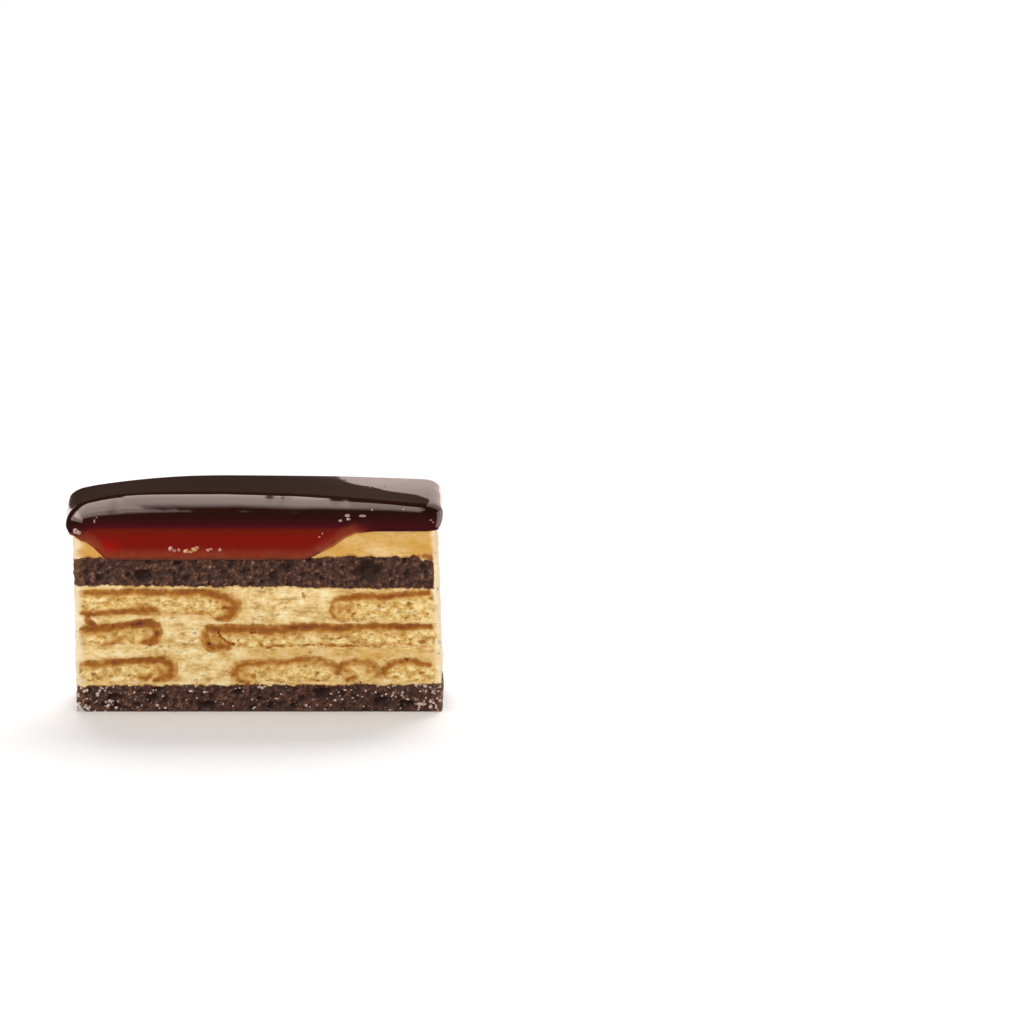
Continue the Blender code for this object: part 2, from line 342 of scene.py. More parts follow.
def soaked(point):
    """How browned the cream is by the cocoa sponge that it touches, in a thin uneven line."""
    away = min(abs(point.z - edge(point.x)) for edge in (base_top, filling_top, sponge_top))
    if point.x > SPONGE_END + 0.2 * MM and point.z > FILLING_TOP - 1 * MM:
        away = max(away, 2 * MM)
    return (0.62 + 0.35 * lumps(point, 2.5 * MM, 2)) * ease(away, 0.75 * MM, 0.2 * MM)


def cream_relief(point):
    """Depth of the cut cream at a point, how pitted it is (painted as shade in the pits) and how browned."""
    streak = Vector((point.x / (6 * MM), point.y / (6 * MM), point.z / (1.7 * MM)))
    smear = noise.fractal(streak, 1.0, 2.0, 3)
    flat = Vector((point.x / 3.0, point.y / 3.0, point.z))
    flat += 0.35 * MM * noise.noise_vector(point / (0.9 * MM))
    patch = ease(noise.noise(point / (12 * MM)), -0.25, 0.2)
    pit = pores(flat, 0.85 * MM, 0.22) * patch + 0.8 * pores(point, 1.5 * MM, 0.05)
    pit *= ease(point.z, SPONGE_TOP + 0.5 * MM, SPONGE_TOP - 0.5 * MM)
    brown = max(browning(point), soaked(point))
    depth = 0.16 * MM * smear + 0.09 * MM * lumps(point, 1.2 * MM) + 0.3 * MM * pit
    depth += 0.35 * MM * ease(brown, 0.35, 0.7) * ease(point.z, SPONGE_TOP, FILLING_TOP)
    if SPONGE_END - 3 * MM < point.x < SPONGE_END + 0.3 * MM:
        # The cream that closes the side starts behind the sponge's cut face.
        behind = ease(point.x, SPONGE_END + 0.25 * MM, SPONGE_END - 0.1 * MM)
        behind *= ease(point.z, FILLING_TOP - 1.0 * MM, FILLING_TOP)
        depth += 1.6 * MM * behind * ease(sponge_top(point.x) - point.z, 0.1 * MM, 0.5 * MM)
    return depth, (min(1.0, pit), brown)


def finger_sizes(node):
    """Left, right, floor and roof of a finger, and the reach of its two ends, from its solid."""
    low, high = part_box(node)
    round_end = 4.4 * MM
    left_reach = 0.7 * MM if low.x - side_x(-1, low.z) < SIDE_COAT else round_end
    right_reach = 0.7 * MM if side_x(1, low.z) - high.x < SIDE_COAT else round_end
    return low.x, high.x, low.z, high.z, left_reach, right_reach


# How each finger differs from a plain bar, in millimetres: its roof's fall at the left and the right,
# how far its floor bulges down at the round end, and how wavy its roof is.
FINGER_FORM = {
    "finger_top_left": (0.0, 0.3, 0.0, 2.2, 0.15),
    "finger_top_right": (1.2, -0.3, 0.6, 0.0, 0.15),
    "finger_middle_left": (2.6, 0.0, 0.0, 0.0, 0.15),
    "finger_middle_right": (0.3, 0.0, 1.7, 0.0, 0.45),
    "finger_low_left": (1.5, 0.0, 0.0, 0.0, 0.2),
    "finger_low_middle": (0.4, 0.2, 0.0, 0.0, 0.2),
    "finger_low_cross": (0.4, 0.5, 0.0, 0.0, 0.1),
    "finger_low_right": (0.3, 0.6, 0.0, 0.0, 0.2),
}


class FingerShape:
    """The section of one sponge finger in the cut face."""

    def __init__(self, node):
        self.node = node
        self.left, self.right, self.floor, self.roof, self.left_reach, self.right_reach = finger_sizes(node)
        form = [size * MM for size in FINGER_FORM[node]]
        self.left_fall, self.right_fall, self.left_bulge, self.right_bulge, self.wave = form
        self.seed = 3.1 * (1 + FINGER_NODES.index(node))

    def closing(self, x):
        """1 along the finger and falling to 0 at its two tips."""
        past = max(self.left + self.left_reach - x, 0.0) / self.left_reach
        past = max(past, max(x - self.right + self.right_reach, 0.0) / self.right_reach)
        return (1.0 - min(past, 1.0) ** 2.3) ** (1 / 2.3)

    def span(self, x):
        """Floor and roof at a place along the finger."""
        along = (x - self.left) / (self.right - self.left)
        roof = self.roof - mix(self.left_fall, self.right_fall, along)
        roof += self.wave * ripple(x, 7 * MM, self.seed)
        roof += 0.12 * MM * ripple(x, 1.7 * MM, self.seed + 1.3)
        floor = self.floor + 0.25 * MM * ripple(x, 3 * MM, self.seed + 2.6)
        floor -= self.left_bulge * ease(x, self.left + 13 * MM, self.left + 6 * MM)
        floor -= self.right_bulge * ease(x, self.right - 11 * MM, self.right - 5 * MM)
        middle, half = (floor + roof) / 2, (roof - floor) / 2
        closed = max(self.closing(x), 0.16)
        return middle - half * closed, middle + half * closed

    def holds(self, x, z, margin):
        """Whether a place in the cut face lies in the finger, margin in from its outline."""
        if not self.left + margin < x < self.right - margin:
            return False
        floor, roof = self.span(x)
        return floor + margin < z < roof - margin

    def outline(self, step):
        """Points along the outline."""
        points = []
        count = max(8, int((self.right - self.left) / step))
        for index in range(count + 1):
            x = self.left + (self.right - self.left) * (0.5 - 0.5 * math.cos(math.pi * index / count))
            floor, roof = self.span(x)
            points += [(x, roof), (x, floor)]
        for tip in (self.left, self.right):
            floor, roof = self.span(tip)
            rows = max(2, int((roof - floor) / step))
            points += [(tip, mix(floor, roof, row / rows)) for row in range(rows + 1)]
        return points


# Browned crust, baked lines and cracks that show in the cut faces, by the layer they belong to: how dark each
# stroke is (1 is full crust, 1.5 a burnt crack), then its points (along the slice, height, half width) in mm.
BROWN_STROKES = {
    "finger_top_left": (
        (0.89, (-58.5, 40.0, 0.8), (-47.9, 40.0, 1.1), (-40.8, 40.4, 1.0), (-34.6, 40.0, 1.2),
         (-24.3, 40.1, 1.2), (-18.1, 40.5, 1.2), (-14.0, 39.5, 1.3), (-10.2, 38.6, 1.4)),
        (0.8, (-10.2, 38.6, 1.4), (-7.4, 37.5, 2.0), (-6.3, 35.9, 2.2), (-7.1, 33.8, 2.2),
         (-9.0, 32.0, 2.0), (-11.9, 31.2, 1.3)),
        (0.9, (-57.4, 33.3, 0.6), (-53.2, 32.8, 0.8), (-47.9, 33.3, 0.7), (-42.9, 33.7, 0.7),
         (-40.0, 34.0, 1.0), (-36.7, 34.3, 1.8), (-33.4, 34.0, 1.6), (-31.7, 33.2, 0.7)),
        (0.46, (-31.7, 33.4, 0.6), (-26.0, 33.3, 0.6), (-20.2, 33.2, 0.6), (-14.8, 32.8, 0.6),
         (-13.6, 31.7, 0.6)),
        (0.95, (-55.3, 32.4, 1.1), (-55.1, 30.9, 1.1), (-54.5, 29.4, 1.1), (-52.8, 28.4, 1.1)),
        (0.57, (-10.0, 36.4, 1.4), (-9.4, 34.0, 1.6)),
        (1.15, (-10.7, 38.4, 0.4), (-9.6, 38.2, 0.4)),
        (1.15, (-11.5, 34.8, 0.3), (-9.8, 34.9, 0.5), (-8.4, 34.9, 0.3)),
        (1.1, (-14.4, 33.8, 0.3), (-13.6, 33.5, 0.4)),
        (0.8, (-12.9, 37.1, 0.5), (-12.3, 36.6, 0.5)),
        (0.7, (-48.3, 36.6, 0.5), (-47.2, 35.6, 0.3)),
        (0.5, (-53.6, 36.6, 0.3), (-50.3, 36.6, 0.3)),
        (0.6, (-42.9, 38.0, 0.3), (-41.4, 38.0, 0.3)),
        (0.6, (-26.4, 36.5, 0.3), (-24.5, 36.2, 0.3)),
        (0.5, (-37.5, 38.5, 0.4), (-35.0, 37.4, 0.3), (-31.7, 37.5, 0.3)),
    ),
    "finger_middle_left": (
        (1.16, (-58.0, 27.6, 0.8), (-53.2, 27.9, 1.2), (-47.9, 28.3, 1.1), (-42.9, 29.0, 1.1),
         (-38.3, 29.6, 1.2), (-34.6, 29.7, 1.3)),
        (1.0, (-34.6, 29.7, 1.3), (-32.4, 28.4, 1.8), (-32.2, 26.3, 1.9), (-32.9, 24.2, 1.8),
         (-34.6, 23.3, 1.2), (-36.7, 23.2, 0.8)),
        (0.6, (-36.2, 27.5, 1.2), (-35.1, 26.3, 1.5), (-35.1, 24.8, 1.4)),
        (0.6, (-51.6, 22.0, 0.6), (-47.9, 22.6, 0.8), (-45.0, 24.2, 0.8), (-43.3, 25.3, 0.5)),
        (0.6, (-40.8, 23.6, 0.5), (-38.3, 23.0, 0.5)),
        (0.6, (-43.3, 27.1, 0.4), (-41.7, 26.9, 0.4)),
        (0.7, (-36.7, 26.7, 0.5), (-35.5, 26.3, 0.5)),
        (0.4, (-51.6, 25.1, 0.4), (-47.9, 25.9, 0.4)),
    ),
    "finger_low_left": (
        (0.95, (-58.0, 16.1, 0.8), (-53.6, 16.1, 1.3), (-48.3, 16.5, 1.1), (-43.3, 16.9, 0.8),
         (-38.7, 17.0, 0.8), (-33.8, 17.3, 1.1), (-30.5, 17.4, 1.3)),
        (0.85, (-30.5, 17.4, 1.3), (-28.2, 16.1, 1.7), (-27.4, 14.4, 1.8), (-28.2, 12.5, 1.7),
         (-30.1, 11.3, 1.2), (-33.4, 10.5, 0.6)),
        (0.5, (-31.6, 15.2, 1.6), (-31.2, 12.6, 1.7)),
        (0.75, (-37.9, 11.5, 1.0), (-36.3, 11.0, 0.8), (-35.0, 12.0, 0.6)),
        (0.5, (-46.6, 13.6, 0.4), (-45.8, 11.9, 0.4)),
        (0.4, (-52.4, 12.9, 0.3), (-50.1, 13.1, 0.3)),
        (0.35, (-48.3, 10.0, 0.3), (-37.1, 9.0, 0.4), (-24.7, 9.6, 0.3)),
    ),
    "finger_middle_right": (
        (0.85, (-14.8, 27.8, 1.6), (-16.2, 26.3, 1.6), (-16.6, 24.6, 1.6), (-15.7, 23.0, 1.4),
         (-13.8, 21.3, 1.2)),
        (0.5, (-13.8, 21.3, 1.0), (-11.7, 19.8, 0.8), (-9.2, 19.0, 0.7), (-7.1, 19.4, 0.5)),
        (1.0, (-14.8, 27.9, 1.6), (-12.1, 28.1, 1.3), (-8.0, 27.9, 1.4), (-2.9, 27.8, 1.4),
         (1.2, 27.8, 1.6)),
        (1.0, (0.1, 27.9, 1.6), (3.5, 27.5, 1.7), (6.3, 27.5, 1.8), (9.7, 27.6, 1.6), (12.5, 28.2, 1.3),
         (16.8, 28.6, 1.2), (20.9, 28.5, 1.3), (25.0, 28.0, 1.3), (29.2, 28.1, 1.2), (33.2, 28.5, 1.0),
         (41.6, 28.7, 1.0), (49.8, 28.5, 1.1), (56.0, 28.8, 0.8), (58.1, 28.8, 0.6)),
        (0.6, (-13.2, 25.6, 1.3), (-11.6, 23.2, 1.5)),
        (1.45, (-11.9, 27.5, 0.25), (-11.5, 25.4, 0.3), (-9.8, 24.1, 0.35), (-8.3, 23.0, 0.35),
         (-6.8, 22.6, 0.25)),
        (1.4, (-15.1, 23.0, 0.5), (-14.1, 22.7, 0.5)),
        (1.3, (-1.0, 26.7, 0.4), (0.3, 26.5, 0.4)),
        (0.85, (-12.8, 22.3, 1.1), (-10.8, 21.8, 1.4), (-8.8, 21.9, 1.2)),
        (0.6, (-5.1, 22.6, 0.5), (-2.5, 22.3, 0.5)),
        (0.8, (1.1, 24.2, 0.4), (2.2, 22.5, 0.5), (3.9, 21.5, 0.5), (8.4, 22.3, 0.4), (13.8, 22.3, 0.4)),
        (0.8, (13.8, 22.3, 0.3), (20.9, 22.5, 0.4), (25.9, 22.3, 0.5), (36.6, 22.0, 0.5),
         (40.6, 22.3, 0.4)),
        (0.6, (40.6, 22.3, 0.3), (45.6, 23.0, 0.3), (51.9, 22.3, 0.4), (58.1, 21.7, 0.3)),
        (0.55, (6.3, 24.2, 0.6), (8.0, 24.0, 0.5)),
        (0.9, (27.5, 24.7, 0.3), (28.7, 25.0, 0.3)),
        (0.8, (40.9, 28.0, 0.3), (40.9, 26.9, 0.3)),
        (0.4, (45.2, 26.3, 1.0), (47.8, 26.1, 0.8)),
        (0.5, (13.8, 24.6, 0.8), (15.4, 25.5, 0.8)),
    ),
    "finger_low_middle": (
        (0.8, (-2.4, 16.2, 1.4), (-5.2, 15.2, 1.5), (-6.4, 13.6, 1.5), (-6.7, 11.9, 1.5),
         (-5.2, 10.4, 1.1), (-2.4, 9.4, 1.0)),
        (0.48, (-3.6, 14.0, 1.5), (-2.6, 11.9, 1.5)),
        (1.3, (-6.3, 11.4, 0.4), (-5.8, 11.2, 0.4)),
        (0.78, (-2.4, 16.2, 1.4), (1.3, 16.3, 1.3)),
        (0.72, (0.3, 16.3, 1.3), (3.6, 16.8, 1.3), (6.5, 16.8, 1.1), (10.7, 16.3, 1.0), (12.7, 17.1, 1.1),
         (15.2, 17.6, 1.3), (18.1, 17.8, 1.3), (21.8, 17.6, 1.3), (24.7, 16.6, 1.4), (26.6, 15.2, 1.5),
         (27.2, 13.4, 1.4)),
        (0.5, (6.5, 10.2, 0.4), (10.7, 10.1, 0.5), (14.0, 10.4, 0.5), (16.9, 10.0, 0.4)),
        (0.9, (20.6, 10.4, 0.4), (21.9, 10.3, 0.4)),
        (0.33, (5.0, 14.6, 1.0), (5.1, 11.9, 1.0)),
    ),
    "finger_low_cross": (
        (0.72, (27.7, 13.0, 1.4), (28.1, 14.7, 1.5), (29.7, 16.2, 1.5), (31.7, 16.9, 1.2),
         (34.2, 17.0, 1.2), (37.1, 16.5, 1.4), (39.6, 15.3, 1.6), (41.0, 13.7, 1.6), (41.7, 12.0, 1.4)),
        (1.1, (27.4, 14.9, 0.3), (27.5, 13.0, 0.3)),
        (1.0, (41.9, 14.3, 0.3), (42.0, 12.8, 0.3)),
        (0.9, (30.9, 10.9, 0.6), (32.6, 11.4, 0.6), (33.4, 12.0, 0.4)),
        (0.35, (29.9, 13.5, 2.3), (30.3, 11.8, 2.3)),
        (0.27, (39.6, 13.0, 2.0), (38.8, 11.8, 1.8)),
    ),
    "finger_low_right": (
        (0.78, (42.5, 12.7, 1.1), (43.3, 14.6, 1.4), (45.0, 16.1, 1.2), (47.4, 16.8, 1.2),
         (49.9, 17.1, 1.2), (52.8, 16.9, 1.1), (55.7, 16.1, 0.9), (57.8, 15.6, 0.7)),
        (1.3, (49.7, 17.7, 0.4), (50.5, 17.2, 0.4)),
        (0.9, (41.0, 16.2, 0.4), (41.7, 15.9, 0.5)),
        (0.7, (54.8, 13.1, 0.5), (56.1, 13.2, 0.4)),
        (0.7, (46.0, 11.7, 0.4), (47.6, 11.5, 0.4)),
    ),
    "finger_top_right": (
        (0.6, (28.8, 29.9, 0.6), (27.2, 30.9, 0.9), (26.0, 32.4, 0.9), (25.2, 34.5, 0.9),
         (25.6, 36.1, 1.1), (27.0, 37.5, 1.3), (29.3, 38.1, 1.5)),
        (0.95, (29.3, 38.2, 1.0), (31.7, 38.4, 1.1), (35.5, 39.1, 1.1), (39.6, 38.9, 1.1),
         (43.7, 38.6, 1.1), (46.6, 39.0, 0.8), (49.9, 39.4, 0.8), (54.1, 39.6, 0.8), (58.2, 40.1, 0.6)),
        (0.45, (28.2, 35.6, 1.4), (28.4, 32.8, 1.2)),
        (0.8, (30.4, 34.9, 0.6), (31.1, 33.9, 0.6)),
        (0.9, (32.1, 32.5, 0.6), (33.1, 33.0, 0.5)),
        (0.6, (26.6, 32.9, 0.4), (26.3, 35.8, 0.4)),
        (0.7, (42.0, 35.0, 0.3), (43.4, 35.2, 0.3)),
        (0.6, (44.1, 32.6, 0.5), (45.0, 32.2, 0.4)),
        (0.6, (46.9, 35.5, 0.4), (47.9, 35.4, 0.4)),
        (0.5, (38.6, 31.5, 0.4), (39.7, 31.9, 0.3)),
        (0.4, (36.3, 36.8, 0.3), (41.7, 36.5, 0.3)),
        (0.4, (54.5, 33.2, 0.5), (56.9, 32.9, 0.5)),
    ),
    "cream_filling": (
        (0.7, (16.0, 39.7, 0.4), (16.4, 38.9, 0.6), (16.7, 37.8, 0.3)),
        (0.55, (6.9, 35.6, 0.3), (8.6, 35.6, 0.3), (10.9, 35.1, 0.3)),
        (0.4, (17.5, 36.4, 0.3), (20.2, 36.7, 0.3)),
        (0.5, (32.1, 41.5, 0.4), (33.2, 40.6, 0.3)),
        (0.5, (-3.8, 35.3, 0.3), (-1.8, 34.9, 0.3)),
        (0.45, (-0.5, 35.5, 0.3), (1.1, 35.5, 0.3)),
        (0.55, (-28.6, 23.7, 0.3), (-26.2, 23.9, 0.3)),
        (0.6, (-24.5, 23.0, 0.3), (-22.6, 22.8, 0.4), (-19.8, 23.8, 0.3), (-17.9, 23.3, 0.3)),
        (0.45, (-26.2, 19.2, 0.3), (-24.1, 18.1, 0.3)),
        (0.4, (-22.7, 19.1, 0.3), (-22.2, 18.1, 0.3)),
        (0.6, (-25.3, 14.9, 0.3), (-23.0, 13.2, 0.3)),
        (0.4, (-20.8, 15.3, 0.5), (-19.3, 14.7, 0.5)),
        (0.4, (-15.0, 12.9, 0.3), (-13.3, 12.7, 0.3)),
        (0.45, (-28.8, 42.5, 0.3), (-28.4, 41.0, 0.3)),
        (0.6, (57.3, 20.0, 0.5), (58.6, 20.4, 0.5), (60.1, 21.3, 0.5)),
        (0.85, (54.6, 52.9, 0.4), (56.2, 52.5, 1.0), (58.0, 51.8, 1.2), (58.9, 50.6, 0.8)),
        (0.35, (-56.5, 17.7, 0.8), (-52.0, 20.6, 0.6), (-47.9, 21.9, 0.6)),
    ),
}
FIELD_LEFT, FIELD_FLOOR = -64.0, 8.0  # where the grid that holds the browning starts, in mm
FIELD_STEP = 0.2  # mm between its places


def browning_fields():
    """The browning of the cut face on a grid of places: from the wide strokes, and from the thin ones."""
    across = np.arange(FIELD_LEFT, 64.0, FIELD_STEP)
    up = np.arange(FIELD_FLOOR, 62.0, FIELD_STEP)
    wide, fringe, thin = (np.zeros((len(across), len(up))) for _ in range(3))
    grid_x, grid_z = np.meshgrid(across, up, indexing="ij")
    strokes = [stroke for group in BROWN_STROKES.values() for stroke in group]
    for dark, *points in strokes:
        for (x0, z0, w0), (x1, z1, w1) in zip(points, points[1:]):
            length = max((x1 - x0) ** 2 + (z1 - z0) ** 2, 1e-6)
            share = np.clip(((grid_x - x0) * (x1 - x0) + (grid_z - z0) * (z1 - z0)) / length, 0.0, 1.0)
            away = np.hypot(grid_x - x0 - share * (x1 - x0), grid_z - z0 - share * (z1 - z0))
            width = w0 + share * (w1 - w0)
            if w0 + w1 > 1.1:
                near = away / (1.5 * width + 0.75)
                wide = np.maximum(wide, dark * np.clip(1.245 - 1.22 * np.sqrt(near * near + 0.04), 0.0, 1.0))
                near = np.clip(1.0 - away / (2.3 * width + 1.2), 0.0, 1.0)
                tint = 0.24 + 0.16 * np.clip((grid_x + 45.0) / 50.0, 0.0, 1.0)
                fringe = np.maximum(fringe, tint * dark * near**1.3)
            else:
                inside = np.clip(1.2 - 0.72 * away / (width + 0.1), 0.0, 1.0)
                thin = np.maximum(thin, dark * inside * inside * (3 - 2 * inside))
    return np.maximum(wide, fringe), thin


WIDE_BROWN, THIN_BROWN = browning_fields()


def sampled(field, point, wander):
    """The value of a browning field at a point that has wandered, in mm."""
    across = (point.x / MM + wander.x - FIELD_LEFT) / FIELD_STEP
    up = (point.z / MM + 0.6 * wander.z - FIELD_FLOOR) / FIELD_STEP
    column = min(max(int(across), 0), field.shape[0] - 2)
    row = min(max(int(up), 0), field.shape[1] - 2)
    u, v = min(max(across - column, 0.0), 1.0), min(max(up - row, 0.0), 1.0)
    low = mix(field[column, row], field[column + 1, row], u)
    high = mix(field[column, row + 1], field[column + 1, row + 1], u)
    return float(mix(low, high, v))


def browning(point):
    """How browned the cut is at a point, 0 to 1.5, uneven and with an uneven edge."""
    wander = 0.55 * noise.noise_vector(point / (2.4 * MM)) + 0.2 * noise.noise_vector(point / (0.8 * MM))
    wide = sampled(WIDE_BROWN, point, wander)
    thin = sampled(THIN_BROWN, point, wander + 0.45 * noise.noise_vector(point / (0.7 * MM)))
    if thin > 0.05:
        thin *= 0.85 + 0.75 * lumps(point + Vector((0.2, 0.3, 0.1)), 1.6 * MM)
    uneven = 1.0 + 0.34 * lumps(point, 1.7 * MM, 4) + 0.24 * lumps(point + Vector((0.4, 0.1, 0.2)), 5 * MM, 2)
    return max(wide * min(1.25, uneven), thin) * (1.0 - 0.7 * side_coat(point))


def near_tree(points):
    """A tree that finds the nearest of some (x, z) points."""
    tree = kdtree.KDTree(len(points))
    for index, (x, z) in enumerate(points):
        tree.insert((x, 0.0, z), index)
    tree.balance()
    return tree


# ---------------------------------------------------------------- materials


def add_node(tree, kind, inputs=None, stops=(), **settings):
    """Adds a node with its settings, and fills its inputs with values or with other nodes' outputs.

    The stops are a colour ramp's places and sRGB hex colours.
    """
    node = tree.nodes.new(kind)
    for name, value in settings.items():
        setattr(node, name, value)
    for name, value in (inputs or {}).items():
        if isinstance(value, bpy.types.NodeSocket):
            tree.links.new(value, node.inputs[name])
        else:
            node.inputs[name].default_value = value
    for index, (place, code) in enumerate(stops):
        elements = node.color_ramp.elements
        element = elements[index] if index < 2 else elements.new(place)
        element.position, element.color = place, rgba(linear(code))
    return node


# A Mix node's sockets for colours: its factor, its two colours and its result.
FACTOR, FIRST, SECOND, MIXED = 0, 6, 7, 2
GLOW_SPREAD = (1.0, 0.6, 0.3)  # light spreads further in cream and crumb the redder it is


def rgba(colour):
    """A linear colour with full alpha."""
    return (*colour, 1.0)


def new_material(name):
    """A node material with only its shader, its output and the place it reads patterns by."""
    material = bpy.data.materials.new(name)
    material.use_nodes = True
    tree = material.node_tree
    tree.nodes.clear()
    shader = add_node(tree, "ShaderNodeBsdfPrincipled")
    add_node(tree, "ShaderNodeOutputMaterial", {"Surface": shader.outputs["BSDF"]})
    place = add_node(tree, "ShaderNodeTexCoord").outputs["Object"]
    return material, tree, shader, place


# Browned crust from the first tint to a burnt crack, by the browning over BURNT.
BURNT = 1.5
CRUST_STOPS = (
    (0.0, "#dda64c"),
    (0.16, "#cd9136"),
    (0.36, "#b6751a"),
    (0.62, "#985708"),
    (0.8, "#82400d"),
    (1.0, "#5c200f"),
)
BROWNED_STOP = 3  # the stop that takes the crust's colour from the settings


def browned_over(tree, settings, under, brown, faint, full):
    """Browned crust over a colour: it starts to show where the browning is faint and covers it where full."""
    depth = add_node(tree, "ShaderNodeMath", {0: brown, 1: BURNT}, operation="DIVIDE").outputs[0]
    crust = add_node(tree, "ShaderNodeValToRGB", {"Fac": depth}, stops=CRUST_STOPS)
    crust.color_ramp.elements[BROWNED_STOP].color = rgba(settings.browned)
    share = add_node(tree, "ShaderNodeMapRange", {"Value": brown, "From Min": faint, "From Max": full})
    return add_node(
        tree,
        "ShaderNodeMix",
        {FACTOR: share.outputs["Result"], FIRST: under, SECOND: crust.outputs["Color"]},
        data_type="RGBA",
    ).outputs[MIXED]


def cocoa_crumb_material(settings):
    """Baked cocoa crumb: matt, painted near black in its pores as shade and lighter on its clumps, with pale
    sugary specks and painted moist glints on the torn walls.
    """
    material, tree, shader, place = new_material("baked_cocoa_crumb")
    raised, moist, coat = (
        add_node(tree, "ShaderNodeAttribute", attribute_name=mark).outputs["Fac"]
        for mark in ("raised", "moist", "coat")
    )
    grain = add_node(
        tree,
        "ShaderNodeTexNoise",
        {"Vector": place, "Scale": 1 / (1.0 * MM), "Detail": 5.0, "Roughness": 0.75},
    ).outputs["Fac"]
    centred = add_node(
        tree, "ShaderNodeMath", {0: grain, 1: 1.7, 2: -0.85}, operation="MULTIPLY_ADD"
    ).outputs[0]
    # Painted shade by relief: the tone sinks to near black in the pores and rises on the clumps.
    tone = add_node(tree, "ShaderNodeMath", {0: raised, 1: centred}, operation="ADD").outputs[0]
    colour = add_node(
        tree,
        "ShaderNodeValToRGB",
        {"Fac": tone},
        stops=((0.0, "#1c0602"), (0.27, "#2d1309"), (0.53, "#47291a"), (0.78, "#6f4935"), (1.0, "#a8816e")),
    ).outputs["Color"]
    creamy = add_node(tree, "ShaderNodeMath", {0: coat, 1: 0.35}, operation="MULTIPLY").outputs[0]
    # Painted glints: pale spots, partly sugary specks and partly painted highlights of moist crumb, with a
    # lower roughness. They are 0.2 to 1 mm wide and uneven, one to a cell, and only in the cells whose lot is
    # high enough.
    stray = add_node(tree, "ShaderNodeTexNoise", {"Vector": place, "Scale": 1 / (0.8 * MM)}).outputs["Color"]
    stray = add_node(
        tree, "ShaderNodeVectorMath", {0: stray, 1: (1.3 * MM,) * 3, 2: place}, operation="MULTIPLY_ADD"
    ).outputs["Vector"]
    cells = add_node(tree, "ShaderNodeTexVoronoi", {"Vector": stray, "Scale": 1 / (1.6 * MM)})
    # The moist mark sets how many cells get a painted glint.
    lot = add_node(tree, "ShaderNodeMath", {0: cells.outputs["Color"], 1: moist}, operation="MULTIPLY")
    reach = add_node(
        tree,
        "ShaderNodeMapRange",
        {"Value": lot.outputs[0], "From Min": 0.4, "From Max": 0.85, "To Min": 0.0, "To Max": 0.5},
    ).outputs["Result"]
    inside = add_node(
        tree, "ShaderNodeMath", {0: reach, 1: cells.outputs["Distance"]}, operation="SUBTRACT"
    ).outputs[0]
    glint = add_node(
        tree, "ShaderNodeMapRange", {"Value": inside, "From Min": 0.0, "From Max": 0.16}
    ).outputs["Result"]
    for share, tint in ((0.15, settings.cocoa), (creamy, linear("#8a5c34")), (glint, linear("#d0b3a9"))):
        colour = add_node(
            tree, "ShaderNodeMix", {FACTOR: share, FIRST: colour, SECOND: rgba(tint)}, data_type="RGBA"
        ).outputs[MIXED]
    rough = add_node(tree, "ShaderNodeMapRange", {"Value": glint, "To Min": 0.85, "To Max": 0.4})
    bump = add_node(tree, "ShaderNodeBump", {"Height": grain, "Strength": 0.8, "Distance": 0.3 * MM})
    tree.links.new(colour, shader.inputs["Base Color"])
    tree.links.new(rough.outputs["Result"], shader.inputs["Roughness"])
    tree.links.new(bump.outputs["Normal"], shader.inputs["Normal"])
    shader.inputs["Specular IOR Level"].default_value = 0.3
    return material


def cream_material(settings):
    """Set caramel cream, cut with a knife: crumbly, a little moist, yellower and stained by the fingers, with
    painted shade in its pits.
    """
    material, tree, shader, place = new_material("set_caramel_cream")
    hollow, brown, halo, coat = (
        add_node(tree, "ShaderNodeAttribute", attribute_name=mark).outputs["Fac"]
        for mark in ("hollow", "brown", "halo", "coat")
    )
    # The knife drew the cream's mottling out along the cut.
    drawn = add_node(tree, "ShaderNodeMapping", {"Vector": place, "Scale": (0.45, 0.45, 1.0)})
    tone = add_node(
        tree,
        "ShaderNodeTexNoise",
        {"Vector": drawn.outputs["Vector"], "Scale": 1 / (2.2 * MM), "Detail": 6.0, "Roughness": 0.74},
    ).outputs["Fac"]
    colour = add_node(
        tree,
        "ShaderNodeValToRGB",
        {"Fac": tone},
        stops=((0.37, "#ae7f38"), (0.43, "#dab36a"), (0.52, "#f3d595"), (0.61, "#fff0c4")),
    ).outputs["Color"]
    pale = add_node(tree, "ShaderNodeMath", {0: coat, 1: 0.65}, operation="MULTIPLY").outputs[0]
    for share, tint in ((0.2, settings.cream), (halo, linear("#d49b36")), (pale, linear("#ffefd2"))):
        colour = add_node(
            tree, "ShaderNodeMix", {FACTOR: share, FIRST: colour, SECOND: rgba(tint)}, data_type="RGBA"
        ).outputs[MIXED]
    colour = browned_over(tree, settings, colour, brown, 0.36, 0.78)
    # Painted shade in the pits: darker brown where they are deep.
    deep = add_node(tree, "ShaderNodeMath", {0: hollow, 1: 0.8}, operation="MULTIPLY").outputs[0]
    colour = add_node(
        tree,
        "ShaderNodeMix",
        {FACTOR: deep, FIRST: colour, SECOND: rgba(linear("#a0672c"))},
        data_type="RGBA",
    ).outputs[MIXED]
    fine = add_node(tree, "ShaderNodeTexNoise", {"Vector": place, "Scale": 1 / (0.8 * MM), "Detail": 3.0})
    bump = add_node(
        tree, "ShaderNodeBump", {"Height": fine.outputs["Fac"], "Strength": 0.5, "Distance": 0.2 * MM}
    )
    tree.links.new(colour, shader.inputs["Base Color"])
    tree.links.new(bump.outputs["Normal"], shader.inputs["Normal"])
    shader.inputs["Roughness"].default_value = 0.55
    shader.inputs["Specular IOR Level"].default_value = 0.3
    shader.inputs["Subsurface Weight"].default_value = 0.15
    shader.inputs["Subsurface Radius"].default_value = GLOW_SPREAD
    shader.inputs["Subsurface Scale"].default_value = 0.8 * MM
    return material


